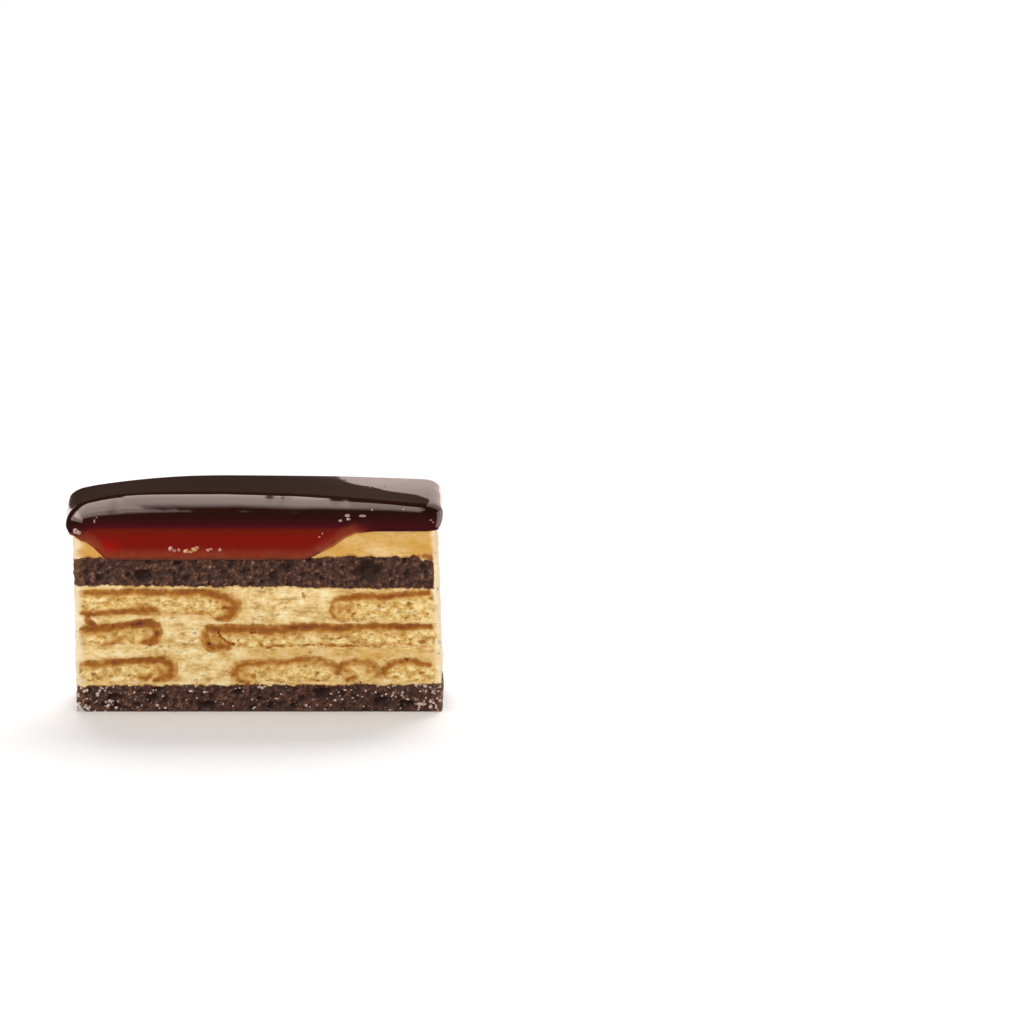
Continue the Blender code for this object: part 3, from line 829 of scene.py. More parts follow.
def finger_material(settings):
    """A baked sponge finger: pale open crumb with painted shade in its holes, and a thin browned crust on its
    roof and round its ends.
    """
    material, tree, shader, place = new_material("baked_sponge_finger")
    hollow, brown, coat = (
        add_node(tree, "ShaderNodeAttribute", attribute_name=mark).outputs["Fac"]
        for mark in ("hollow", "brown", "coat")
    )
    # The crumb's holes are a little wider than high.
    wide = add_node(tree, "ShaderNodeMapping", {"Vector": place, "Scale": (0.72, 0.72, 1.0)})
    grain = add_node(
        tree,
        "ShaderNodeTexNoise",
        {"Vector": wide.outputs["Vector"], "Scale": 1 / (1.7 * MM), "Detail": 5.0, "Roughness": 0.7},
    ).outputs["Fac"]
    colour = add_node(
        tree,
        "ShaderNodeValToRGB",
        {"Fac": grain},
        stops=((0.31, "#935a20"), (0.4, "#ca9943"), (0.49, "#e8c475"), (0.61, "#fbe7aa")),
    ).outputs["Color"]
    pale = add_node(tree, "ShaderNodeMath", {0: coat, 1: 0.6}, operation="MULTIPLY").outputs[0]
    # The hollow mark is painted shade, darker gold-brown in the crumb's holes.
    for share, tint in ((0.15, settings.biscuit), (hollow, linear("#a26a22")), (pale, linear("#fdebc6"))):
        colour = add_node(
            tree, "ShaderNodeMix", {FACTOR: share, FIRST: colour, SECOND: rgba(tint)}, data_type="RGBA"
        ).outputs[MIXED]
    colour = browned_over(tree, settings, colour, brown, 0.05, 0.74)
    bump = add_node(tree, "ShaderNodeBump", {"Height": grain, "Strength": 0.6, "Distance": 0.25 * MM})
    tree.links.new(colour, shader.inputs["Base Color"])
    tree.links.new(bump.outputs["Normal"], shader.inputs["Normal"])
    shader.inputs["Roughness"].default_value = 0.75
    shader.inputs["Specular IOR Level"].default_value = 0.25
    shader.inputs["Subsurface Weight"].default_value = 0.1
    shader.inputs["Subsurface Radius"].default_value = GLOW_SPREAD
    shader.inputs["Subsurface Scale"].default_value = 0.6 * MM
    return material


# The glaze on the cut face, from its deep shoulder to its thinnest place.
GLAZE_STOPS = (
    (0.0, "#27100a"),
    (0.21, "#2d110d"),
    (0.425, "#390f15"),
    (0.545, "#4b1018"),
    (0.663, "#691b0d"),
    (0.85, "#7b150d"),
    (1.0, "#9a100c"),
)
CARAMEL_STOP = 5  # the stop that takes the thin glaze's colour from the settings
OVER_SPONGE, OVER_CREAM = "#5b342a", "#b0713f"  # the glaze's last edge takes the tone of what lies under it


def glaze_material(settings):
    """Poured caramel glaze: a smooth wet gloss, red where it is thin over cream and near black where deep,
    with a lighter band along the run's lower edge that is partly a painted reflection.
    """
    material, tree, shader, _ = new_material("poured_caramel_glaze")
    upward, thin, rim, edge = (
        add_node(tree, "ShaderNodeAttribute", attribute_name=mark).outputs["Fac"]
        for mark in ("upward", "thin", "rim", "edge")
    )
    front = add_node(tree, "ShaderNodeValToRGB", {"Fac": thin}, stops=GLAZE_STOPS)
    front.color_ramp.elements[CARAMEL_STOP].color = rgba(settings.caramel)
    colour = front.outputs["Color"]
    # The lighter rim tone is partly the swollen edge's own colour and partly a painted reflection.
    for share, tint in ((upward, linear("#2d0f09")), (rim, linear("#893b27"))):
        colour = add_node(
            tree, "ShaderNodeMix", {FACTOR: share, FIRST: colour, SECOND: rgba(tint)}, data_type="RGBA"
        ).outputs[MIXED]
    under = add_node(
        tree,
        "ShaderNodeValToRGB",
        {"Fac": edge},
        stops=((0.0, OVER_SPONGE), (0.45, OVER_SPONGE), (0.55, OVER_CREAM), (1.0, OVER_CREAM)),
    ).outputs["Color"]
    apart = add_node(tree, "ShaderNodeMath", {0: edge, 1: 0.5}, operation="SUBTRACT").outputs[0]
    apart = add_node(tree, "ShaderNodeMath", {0: apart}, operation="ABSOLUTE").outputs[0]
    apart = add_node(tree, "ShaderNodeMath", {0: apart, 1: 2.0}, operation="MULTIPLY").outputs[0]
    colour = add_node(
        tree, "ShaderNodeMix", {FACTOR: apart, FIRST: colour, SECOND: under}, data_type="RGBA"
    ).outputs[MIXED]
    tree.links.new(colour, shader.inputs["Base Color"])
    shader.inputs["Roughness"].default_value = 0.07
    shader.inputs["IOR"].default_value = 1.45
    return material


# ---------------------------------------------------------------- glaze

GLAZE_REACH = 7.5 * MM  # how far in from the rim the widest part of the shoulder starts
GLAZE_LIP = 60.7 * MM  # lower edge of the rim where nothing ran down
LEFT_SAG = 2.4 * MM  # how much lower that edge is at the left end
BACK_RUN, BACK_RUN_LENGTH = 3.2 * MM, 46 * MM  # the shallower runs behind, and from one to the next
LIP_ROUND = 0.5 * MM
END_UNDERCUT, FACE_UNDERCUT = 2.55 * MM, 1.25 * MM  # how far the rim draws back under its widest line
GLAZE_CORNER, LIP_CORNER = 7.5 * MM, 2.6 * MM  # radius of its corners seen from above, at its widest and lip
CORNER_SHARES = (1.0, 1.0, 1.0, 0.55)  # of that radius, at the front left corner and on anticlockwise
LEFT_REACH, RIGHT_REACH, BACK_REACH = 5.2 * MM, 4.8 * MM, 3.0 * MM  # of the round shoulder there
LEFT_SPLAY = 1.25 * MM  # how much further out the left end stands at the back than in front
SHOULDER_STEPS, FACE_STEPS, LIP_STEPS = 26, 20, 4
GLAZE_MARKS = ("thin", "upward", "rim", "edge")
THIN_FULL = 0.85  # how thin the run is, of the thinnest place in it
THINNEST = (-48.5 * MM, 55.0 * MM, 6.5 * MM, 4.0 * MM)  # that place: along, height, half width, half height

# Outlines of the glaze along the slice, in mm: the height of its widest line, the reach of its round shoulder
# at the front, and the lower edge of what ran down the front.
WIDEST = ((-62.5, 61.8), (-50.0, 63.4), (-25.0, 64.8), (10.0, 65.0), (35.0, 65.6), (50.0, 66.0), (62.5, 66.2))
SHOULDER = ((-62.5, 5.0), (-45.0, 7.0), (-25.0, 7.5), (10.0, 7.5), (30.0, 6.0), (45.0, 4.2), (62.5, 4.0))
RUN = (
    (-62.5, 59.6), (-61.0, 59.0), (-59.6, 58.3), (-58.4, 57.7), (-57.3, 57.0), (-55.2, 56.1),
    (-53.2, 54.7), (-51.6, 53.0), (-50.0, 51.4), (-48.8, 50.9), (15.5, 50.9), (17.6, 51.1),
    (21.2, 52.5), (26.6, 55.4), (30.1, 58.0), (34.1, 59.8), (40.7, 60.6), (62.5, 60.7),
)


# Where the glaze bends and pours off towards its right back corner, seen from above, in mm.
BEND = (
    (26.5, 24.0), (27.5, 18.0), (29.4, 10.0), (33.0, 4.6), (38.6, 1.0), (43.5, -4.5), (48.4, -6.5),
    (53.4, -8.3), (57.6, -13.2), (60.6, -19.0), (62.0, -26.0),
)
BEND_SLOPE = 0.02


def past_bend(x, y):
    """How far behind and right of the bend a place is, and negative in front of it."""
    here = Vector((x / MM, y / MM))
    best = None
    for start, end in zip(BEND, BEND[1:]):
        start, run = Vector(start), Vector(end) - Vector(start)
        share = min(1.0, max(0.0, (here - start).dot(run) / run.length_squared))
        off = here - start - run * share
        side = 1.0 if run.x * off.y - run.y * off.x > 0 else -1.0
        if best is None or off.length < abs(best):
            best = side * off.length
    return best * MM


def outline_at(outline, x):
    """The value of an outline at a place along the slice."""
    places, values = zip(*outline)
    return float(np.interp(x / MM, places, values)) * MM


def splayed(x, y):
    """A place along the slice moved out by the left end's slant."""
    return x - LEFT_SPLAY * ease(x, -46 * MM, -61 * MM) * ease(y, -GLAZE_HIGH.y, 0.8 * GLAZE_HIGH.y)


def widest_line(x, y):
    """Height of the widest line round the glaze, which rises to the back at the left end."""
    rise = 2.9 * MM * ease(x, -50 * MM, -60 * MM) * ease(y, -GLAZE_HIGH.y, 1.0 * GLAZE_HIGH.y)
    return outline_at(WIDEST, x) + rise


def glaze_top(x, y):
    """Height of the glaze, which falls towards both ends by different amounts at the front and the back."""
    crest = -12 * MM
    to_front = min(1.0, max(0.0, (GLAZE_HIGH.y - y) / (2 * GLAZE_HIGH.y)))
    left = max(0.0, (crest - x) / (crest - GLAZE_LOW.x))
    right = max(0.0, (x - crest) / (GLAZE_HIGH.x - crest))
    left_fall = mix(4.7 * MM * left**1.94, 5.8 * MM * left**4.6, ease(to_front, 0.1, 1.0))
    right_fall = 0.85 * MM * right**1.4 + 3.9 * MM * right**1.7 * to_front**1.6
    poured = 0.0
    if x > 20 * MM:
        waves = 0.45 * ripple(x, 3 * MM, 5.5) + 0.3 * ripple(x, 1.2 * MM, 9.1)
        past = past_bend(x, y) + waves * MM * ease(x, 50 * MM, 42 * MM)
        poured = BEND_SLOPE * 0.5 * (past + math.hypot(past, 0.5 * MM))
    return GLAZE_HIGH.z + 0.25 * MM - left_fall - right_fall - poured


def shoulder_reach(x, y):
    """How far in from the rim the round shoulder starts: widest along the front."""
    to_front = ease(-y, -0.5 * GLAZE_HIGH.y, 0.5 * GLAZE_HIGH.y)
    side = mix(BACK_REACH, outline_at(SHOULDER, x), to_front)
    to_end = ease(abs(x), GLAZE_HIGH.x - 9 * MM, GLAZE_HIGH.x - 1 * MM)
    return mix(side, LEFT_REACH if x < 0 else RIGHT_REACH, to_end)


def bare_lip(x):
    """Lower edge of the rim without what ran down."""
    return GLAZE_LIP - LEFT_SAG * ease(x, -56 * MM, -61 * MM)


def lip_height(x, y):
    """Lower edge of the glaze's rim: one broad run in front and shallow ones behind."""
    front = ease(-y, 0.7 * GLAZE_HIGH.y, 0.9 * GLAZE_HIGH.y)
    behind = ease(y, 0.8 * GLAZE_HIGH.y, 0.92 * GLAZE_HIGH.y)
    run = outline_at(RUN, x)
    wave = 0.22 * MM * ripple(x, 9 * MM, 3.3) + 0.1 * MM * ripple(x, 2.5 * MM, 8.1)
    run += wave * ease(GLAZE_LIP - run, 0.5 * MM, 4 * MM)
    fade = ease(GLAZE_HIGH.x - abs(x), 0.0, 12 * MM)
    back_run = BACK_RUN * fade * (0.5 + 0.5 * math.sin(2 * math.pi * x / BACK_RUN_LENGTH))
    return mix(bare_lip(x) - behind * back_run, run, front)


def rim_point(half_length, half_depth, corner, side, share):
    """A point on one side of a rounded rectangle, counted from the middle of one corner to the next."""
    first, last = corner * CORNER_SHARES[side], corner * CORNER_SHARES[(side + 1) % 4]
    first_arc, last_arc = first * math.pi / 4, last * math.pi / 4
    half, across = (half_length, half_depth) if side % 2 == 0 else (half_depth, half_length)
    straight = 2 * half - first - last
    run = share * (straight + first_arc + last_arc)
    if run < first_arc:
        turn = -math.pi / 4 + run / max(first, 1e-9)
        along, out = -half + first + first * math.sin(turn), across - first + first * math.cos(turn)
    elif run > first_arc + straight:
        turn = (run - first_arc - straight) / max(last, 1e-9)
        along, out = half - last + last * math.sin(turn), across - last + last * math.cos(turn)
    else:
        along, out = -half + first + run - first_arc, across
    # side 0 is the front, 1 the right, 2 the back and 3 the left, each walked anticlockwise
    return ((along, -out), (out, along), (-along, out), (-out, -along))[side]


def glaze_point(inset, level, side, share):
    """A point of the rim's surface, and its marks.

    Levels 0 to 1 go down the shoulder, 1 to 2 down the face and 2 to 3 round the lip.
    """
    corner = max(GLAZE_CORNER - inset, 0.0)
    x, y = rim_point(GLAZE_HIGH.x - inset, GLAZE_HIGH.y - inset, corner, side, share)
    if level <= 1.0:
        x = splayed(x, y)
        top, widest = glaze_top(x, y), widest_line(x, y)
        turn = max(0.0, 1.0 - inset / shoulder_reach(x, y))
        z = top - (top - widest) * (1.0 - math.sqrt(max(0.0, 1.0 - turn * turn)))
    else:
        lip, widest = lip_height(x, y), widest_line(x, y)
        z = mix(widest, lip + LIP_ROUND, min(level - 1.0, 1.0))
        fallen = min(1.0, (widest - z) / (widest - bare_lip(x) + 0.2 * MM))
        ran = ease(GLAZE_LIP - lip, 0.3 * MM, 4.0 * MM) * ease(-y, 0.5 * GLAZE_HIGH.y, 0.9 * GLAZE_HIGH.y)
        drawn = mix(1.0 - math.sqrt(1.0 - fallen * fallen), ease(fallen, 0.0, 1.0), ran)
        rounding = max(0.0, level - 2.0)
        z -= LIP_ROUND * math.sqrt(1.0 - (1.0 - rounding) ** 2)
        long_inset = END_UNDERCUT * drawn + 0.5 * LIP_ROUND * rounding
        deep_inset = FACE_UNDERCUT * drawn + LIP_ROUND * rounding
        corner = mix(GLAZE_CORNER, LIP_CORNER, drawn)
        x, y = rim_point(GLAZE_HIGH.x - long_inset, GLAZE_HIGH.y - deep_inset, corner, side, share)
        x = mix(splayed(x, y), x, drawn)
    return x, y, z, *glaze_marks(x, y, z)


def glaze_marks(x, y, z):
    """How thin the glaze is over the cake, how upward it faces, how light the band along the run's lower edge
    is (partly a painted reflection), and how near its lower edge a point is.
    """
    lip = lip_height(x, y)
    slope = (lip_height(x + 0.5 * MM, y) - lip_height(x - 0.5 * MM, y)) / MM
    away = (z - lip) / math.hypot(1.0, slope)
    ran = ease(GLAZE_LIP - lip, 0.3 * MM, 1.6 * MM)
    thin = min(1.0, max(0.0, (67.7 * MM - z) / (8.6 * MM)))
    thin *= mix(0.35, 1.0, ease(x, -62 * MM, -53 * MM))
    thin = THIN_FULL * min(thin, mix(1.0, 0.53, ease(x, 28 * MM, 42 * MM)))
    bright = math.hypot((x - THINNEST[0]) / THINNEST[2], (z - THINNEST[1]) / THINNEST[3])
    thin += (1.0 - THIN_FULL) * ease(bright, 1.0, 0.0) * ease(-y, 0.8 * GLAZE_HIGH.y, 0.9 * GLAZE_HIGH.y)
    upward = ease(z, widest_line(x, y) + 1.2 * MM, widest_line(x, y) + 4.5 * MM)
    # A lighter band 1.5 to 4.8 mm above the run's lower edge: partly the swollen edge's tone, partly a
    # painted reflection.
    rim = 0.9 * ran * ease(away, 4.8 * MM, 1.5 * MM) * ease(x, -61 * MM, -55 * MM)
    rim *= 0.85 + 0.35 * lumps(Vector((x, y, z)), 2.2 * MM)
    near = ran * ease(away, 1.3 * MM, 0.1 * MM)
    over_cream = 1.0 if lip > SPONGE_TOP + 1.2 * MM else -1.0
    return thin, upward, rim, 0.5 + 0.5 * near * over_cream


def glaze_steps():
    """The rim's section as (inset, level) steps, from the top down."""
    steps = []
    for step in range(1, SHOULDER_STEPS + 1):
        turn = math.pi / 2 * step / SHOULDER_STEPS
        steps.append((GLAZE_REACH * (1 - math.sin(turn)), step / SHOULDER_STEPS))
    steps += [(0.0, 1 + step / FACE_STEPS) for step in range(1, FACE_STEPS + 1)]
    steps += [(0.0, 2 + step / LIP_STEPS) for step in range(1, LIP_STEPS + 1)]
    return steps


def draw_out(bm, ring, place):
    """Extrudes an open edge, puts and marks each new point as place says, and returns the new open edge."""
    side_mark, share_mark = bm.verts.layers.int["side"], bm.verts.layers.float["share"]
    marks = [bm.verts.layers.float[name] for name in GLAZE_MARKS]
    made = bmesh.ops.extrude_edge_only(bm, edges=ring)["geom"]
    fresh = {v for v in made if isinstance(v, bmesh.types.BMVert)}
    for vert in fresh:
        x, y, z, *values = place(vert[side_mark], vert[share_mark])
        vert.co = (x, y, z)
        for mark, value in zip(marks, values):
            vert[mark] = value
    return [e for e in made if isinstance(e, bmesh.types.BMEdge) and set(e.verts) <= fresh]


def build_glaze():
    """The glaze: a grid for its top, whose edge is drawn out round the shoulder, the face and the lip."""
    bm = bmesh.new()
    bmesh.ops.create_grid(bm, x_segments=220, y_segments=70, size=0.5)
    for name in GLAZE_MARKS:
        bm.verts.layers.float.new(name)
    side_mark, share_mark = bm.verts.layers.int.new("side"), bm.verts.layers.float.new("share")
    upward, edge = bm.verts.layers.float["upward"], bm.verts.layers.float["edge"]
    half_length, half_depth = GLAZE_HIGH.x - GLAZE_REACH, GLAZE_HIGH.y - GLAZE_REACH
    for vert in bm.verts:
        u, v = vert.co.x + 0.5, vert.co.y + 0.5
        x, y = half_length * (2 * u - 1), half_depth * (2 * v - 1)
        if vert.is_boundary:
            # Sides are told apart by the grid's edge nearest to the point, walked anticlockwise.
            side, share = min((v, 0, u), (1 - u, 1, v), (1 - v, 2, 1 - u), (u, 3, 1 - v))[1:]
            vert[side_mark], vert[share_mark] = side, share
            x, y = rim_point(half_length, half_depth, GLAZE_CORNER - GLAZE_REACH, side, share)
        x = splayed(x, y)
        vert.co = (x, y, glaze_top(x, y))
        vert[upward], vert[edge] = 1.0, 0.5
    ring = [e for e in bm.edges if e.is_boundary]
    for inset, level in glaze_steps():
        ring = draw_out(bm, ring, lambda side, share: glaze_point(inset, level, side, share))

    def inner_point(height, side, share):
        """A point on the side that faces the cake."""
        left, right = side_x(-1, GLAZE_LIP) - 0.1 * MM, side_x(1, GLAZE_LIP) + 0.1 * MM
        x, y = rim_point((right - left) / 2, BACK + 0.12 * MM, 1.1 * MM, side, share)
        return x + (right + left) / 2, y, height(x, y), 1.0, 0.0, 0.0, 0.5

    for height in (lambda x, y: lip_height(x, y) + 0.3 * MM, lambda x, y: CREAM_TOP + 0.2 * MM):
        ring = draw_out(bm, ring, lambda side, share: inner_point(height, side, share))
    bmesh.ops.holes_fill(bm, edges=ring)
    bmesh.ops.recalc_face_normals(bm, faces=bm.faces[:])
    bm.normal_update()
    for vert in bm.verts:
        loose = ease(abs(vert.co.y), BACK + 0.3 * MM, BACK + 1.0 * MM)
        loose = max(loose, ease(vert.co.z, CREAM_TOP + 1 * MM, CREAM_TOP + 4 * MM))
        level = ease(vert.normal.z, 0.9, 0.995)
        wobble = mix(0.1, 0.012, level) * MM * noise.noise(vert.co / (13 * MM))
        wobble += mix(0.045, 0.002, level) * MM * noise.noise(vert.co / (5 * MM))
        vert.co += vert.normal * wobble * loose
    return bm


# ---------------------------------------------------------------- crumbs and bubbles

# What stands on the front, as seen from the camera, in mm: along the slice, height, half width, half height.
GLAZE_BUBBLES = (
    (-58.9, 60.6, 1.0, 0.9), (-58.0, 60.1, 0.8, 0.75), (-52.7, 63.9, 0.22, 0.7),
    (-51.9, 65.2, 0.35, 0.2), (28.6, 64.1, 0.65, 0.45), (30.9, 65.8, 0.9, 0.55),
    (31.3, 64.6, 0.7, 0.45), (36.0, 65.7, 1.1, 0.4), (39.0, 67.7, 0.35, 0.25),
    (49.5, 67.9, 0.35, 0.25), (58.5, 64.3, 0.45, 0.2), (59.2, 63.6, 0.4, 0.2), (22.6, 59.8, 0.2, 0.35),
    (21.6, 58.7, 0.4, 0.3), (38.0, 75.4, 0.5, 0.2), (42.9, 75.8, 0.5, 0.2),
)
RUN_BUBBLES = (
    (-27.5, 54.7, 0.85, 0.75), (-26.3, 54.1, 0.6, 0.5), (-24.9, 54.3, 0.55, 0.6),
    (-15.2, 54.4, 0.75, 0.55), (-14.2, 54.6, 0.5, 0.4), (-11.3, 54.4, 0.6, 0.6),
    (16.2, 50.9, 0.7, 0.35),
)
RUN_CRUMBS = (
    (-22.4, 53.9, 0.9, 0.6), (-21.0, 53.7, 0.7, 0.5), (-19.9, 54.5, 0.9, 0.75),
    (-18.9, 55.1, 0.7, 0.55),
)
EDGE_CRUMBS = (
    (59.9, 53.2, 0.6, 0.5), (60.5, 41.1, 0.6, 0.5), (61.1, 23.4, 0.6, 0.5), (61.3, 15.0, 0.5, 0.4),
    (-20.2, 9.6, 0.7, 0.4), (-19.6, 8.6, 0.5, 0.4), (30.2, 9.2, 0.5, 0.3), (2.5, 8.0, 0.6, 0.4),
)
PALE_SPECKS = (
    (-40.0, 6.5, 0.4, 0.35), (-34.7, 6.2, 0.5, 0.4), (-21.5, 7.0, 0.95, 0.45), (-52.6, 3.5, 0.35, 0.3),
    (-49.6, 3.5, 0.35, 0.3), (-45.5, 3.5, 0.35, 0.3), (-39.0, 1.5, 0.3, 0.3), (-55.7, 4.3, 0.4, 0.3),
    (-48.3, 6.5, 0.35, 0.3), (-31.7, 1.2, 0.3, 0.3), (-5.1, 8.0, 0.4, 0.3), (-1.0, 4.1, 0.35, 0.3),
    (3.3, 8.5, 0.4, 0.3), (-10.6, 2.6, 0.35, 0.3), (-19.2, 4.6, 0.35, 0.3), (1.0, 8.2, 0.3, 0.3),
    (27.8, 6.5, 0.4, 0.35), (29.1, 4.2, 0.4, 0.3), (32.4, 4.7, 0.45, 0.3), (34.1, 5.5, 0.3, 0.3),
    (36.7, 7.1, 0.4, 0.35), (40.0, 6.5, 0.4, 0.4), (43.5, 5.9, 0.45, 0.35), (44.3, 8.2, 0.35, 0.3),
    (45.6, 5.6, 0.4, 0.3), (48.9, 6.2, 0.4, 0.3), (50.6, 4.2, 0.7, 0.35), (54.9, 2.6, 1.2, 0.6),
    (56.4, 2.6, 0.5, 0.4), (54.9, 6.9, 0.4, 0.3), (58.2, 8.2, 0.4, 0.3), (60.5, 4.5, 0.4, 0.4),
    (25.1, 2.2, 0.35, 0.3),
)


def stuck_on(tree, bits):
    """Places for bits that are seen on the front of a surface: centre, outward direction and half sizes."""
    away = Vector((0.0, math.cos(CAMERA_RISE), -math.sin(CAMERA_RISE)))
    for x, z, half_width, half_height in bits:
        seen = Vector((x * MM, FRONT, z * MM))
        place, normal, _, _ = tree.ray_cast(seen - 0.05 * away, away)
        if place is None:
            place, normal = seen + Vector((0.0, 0.3 * MM, 0.0)), Vector((0.0, -1.0, 0.0))
        yield place, normal, half_width * MM, half_height * MM


def strewn(count, seed, low, high, smallest, largest, ends=0.0):
    """Places for bits strewn over the four sides between two heights, more of them near the corners."""
    lots = np.random.default_rng(seed).random((count, 6))
    for side, share, up, size, shape, _ in lots:
        across = mix(share, 0.5 - 0.5 * math.cos(math.pi * share), ends)
        z = mix(low, high, up)
        left, right = side_x(-1, z), side_x(1, z)
        width = mix(smallest, largest, size**3)
        height = width * mix(0.6, 1.0, shape)
        if side < 0.74:
            facing = -1.0 if side < 0.37 else 1.0
            place = Vector((mix(left, right, across), facing * (BACK - 0.1 * MM), z))
            yield place, Vector((0, facing, 0)), width, height
        else:
            facing = -1.0 if side < 0.87 else 1.0
            x = left + 0.1 * MM if facing < 0 else right - 0.1 * MM
            yield Vector((x, mix(FRONT, BACK, across), z)), Vector((facing, 0, 0)), width, height


def add_bits(name, material, slot, bits, uneven, detail=2):
    """Adds small uneven lumps as one piece."""
    bm = bmesh.new()
    for index, (place, normal, half_width, half_height) in enumerate(bits):
        turned = normal.to_track_quat("Z", "Y").to_matrix()
        for vert in bmesh.ops.create_icosphere(bm, subdivisions=detail, radius=1.0)["verts"]:
            out = 1.0 + uneven * noise.noise(1.4 * vert.co + Vector((3.7 * index, 0.0, 0.0)))
            size = Vector((half_width, half_height, 0.8 * min(half_width, half_height)))
            vert.co = place + turned @ (vert.co * out * size)
    return add_piece(name, bm, material, None, slot)


def bit_material(name, first, second, roughness):
    """A crumb or bubble of two mingled tones."""
    material, tree, shader, place = new_material(name)
    grain = add_node(tree, "ShaderNodeTexNoise", {"Vector": place, "Scale": 1 / (0.5 * MM), "Detail": 3.0})
    stops = ((0.35, first), (0.65, second))
    tone = add_node(tree, "ShaderNodeValToRGB", {"Fac": grain.outputs["Fac"]}, stops=stops)
    tree.links.new(tone.outputs["Color"], shader.inputs["Base Color"])
    shader.inputs["Roughness"].default_value = roughness
    return material


# ---------------------------------------------------------------- building

BLOCK_CORNER = 0.6 * MM  # radius of the upright corners of the sponges and the cream
CREAM_CELL = 1.15  # spacing of the cream's points, as a share of the surface cell


def settings_of(context):
    """The slice's settings, kept on the scene."""
    return context.scene.cake_slice


def sponge_piece(settings, name, node, low_edge, high_edge, end, hollows, moist):
    """One cocoa sponge, from side to side or to the given end."""
    cell = settings.cell
    low_level, high_level = low_edge(0.0), high_edge(0.0)
    columns, rows = int(118 * MM / cell), int((high_level - low_level) / cell)

    def sheet(u, v):
        z = mix(low_edge(place_at(u, low_level, end)), high_edge(place_at(u, high_level, end)), v)
        return place_at(u, z, end), z

    bm = cut_block(sheet, columns, rows, int((BACK - FRONT) / (1.3 * cell)))
    raised = press_in(bm, lambda point: sponge_relief(point, settings.pore, hollows), BLOCK_CORNER)
    return add_piece(
        name,
        bm,
        bpy.data.materials.get("baked_cocoa_crumb") or cocoa_crumb_material(settings),
        node,
        "cocoa_sponge",
        raised=raised,
        moist=[moist(vert.co) for vert in bm.verts],
        coat=[side_coat(vert.co) for vert in bm.verts],
    )


def finger_shapes():
    """The sections of all the fingers."""
    return [FingerShape(node) for node in FINGER_NODES]


def side_coat(point):
    """How much of the pale smear of cream on the slice's sides shows at a point of a cut face."""
    wander = 1.3 * MM * noise.noise(point / (3 * MM)) + 0.5 * MM * noise.noise(point / (0.8 * MM))
    left = ease(point.x - side_x(-1, point.z) + wander, 3.2 * MM, 0.6 * MM)
    right = ease(side_x(1, point.z) - point.x + wander, 2.3 * MM, 0.3 * MM)
    return max(left, 0.85 * right)


def add_cream(settings, name, bm, node):
    """Finishes a block of cream: its relief, its marks and its material."""
    marks = press_in(bm, cream_relief, BLOCK_CORNER)
    near_finger = near_tree([point for shape in finger_shapes() for point in shape.outline(0.3 * MM)])
    halo = []
    for vert in bm.verts:
        away = near_finger.find((vert.co.x, 0.0, vert.co.z))[2]
        near = 0.28 * ease(away + 0.5 * MM * noise.noise(vert.co / (2.5 * MM)), 2.2 * MM, 0.3 * MM)
        between_rows = ease(vert.co.x, -8 * MM, 4 * MM) * ease(abs(vert.co.z - 19.5 * MM), 2.5 * MM, 1.0 * MM)
        near = max(near, (0.5 + 0.2 * lumps(vert.co, 4 * MM, 2)) * between_rows)
        # The cream under the glaze is darker golden in broad slanting bands, and more so round a spot near
        # the run's lower edge.
        slope = 0.35 * (vert.co.z - SPONGE_TOP) + 0.1 * vert.co.x
        slanting_tone = noise.noise(Vector((slope / (1.6 * MM), vert.co.x / (22 * MM), vert.co.y / (9 * MM))))
        over = ease(vert.co.z, SPONGE_TOP - 2 * MM, SPONGE_TOP + 1 * MM)
        slanting_tone += 0.22 * ease(math.hypot(vert.co.x - 32 * MM, 2 * (vert.co.z - 54.5 * MM)), 9 * MM, 2 * MM)
        halo.append(mix(near, min(1.0, 0.68 + 0.5 * slanting_tone), over))
    return add_piece(
        name,
        bm,
        bpy.data.materials.get("set_caramel_cream") or cream_material(settings),
        node,
        "caramel_cream",
        hollow=[pit for pit, _ in marks],
        brown=[brown for _, brown in marks],
        halo=halo,
        coat=[side_coat(vert.co) for vert in bm.verts],
    )


def build_filling(settings):
    """The cream between the sponges, with a pocket for each finger."""
    cell = CREAM_CELL * settings.cell
    shapes = finger_shapes()
    outline = near_tree([point for shape in shapes for point in shape.outline(0.12 * MM)])

    def sheet(u, v):
        low = base_top(place_at(u, BASE_TOP)) - 0.15 * MM
        z = mix(low, filling_top(place_at(u, FILLING_TOP)) + 0.15 * MM, v)
        return place_at(u, z), z

    def pockets(bm):
        """Takes out the cells inside the fingers and draws the open edges to the fingers' outlines."""
        outer = {v for v in bm.verts if v.is_boundary}
        middles = [(face, face.calc_center_median()) for face in bm.faces]
        gone = [face for face, at in middles if any(shape.holds(at.x, at.z, 0.3 * MM) for shape in shapes)]
        bmesh.ops.delete(bm, geom=gone, context="FACES")
        for vert in bm.verts:
            if vert.is_boundary and vert not in outer:
                nearest, _, away = outline.find((vert.co.x, 0.0, vert.co.z))
                if away < 1.5 * cell:
                    vert.co.x, vert.co.z = nearest.x, nearest.z

    columns, rows = int(120 * MM / cell), int((FILLING_TOP - BASE_TOP) / cell)
    bm = cut_block(sheet, columns, rows, int((BACK - FRONT) / (1.5 * cell)), pockets)
    return add_cream(settings, "cream_filling_cut", bm, "cream_filling")


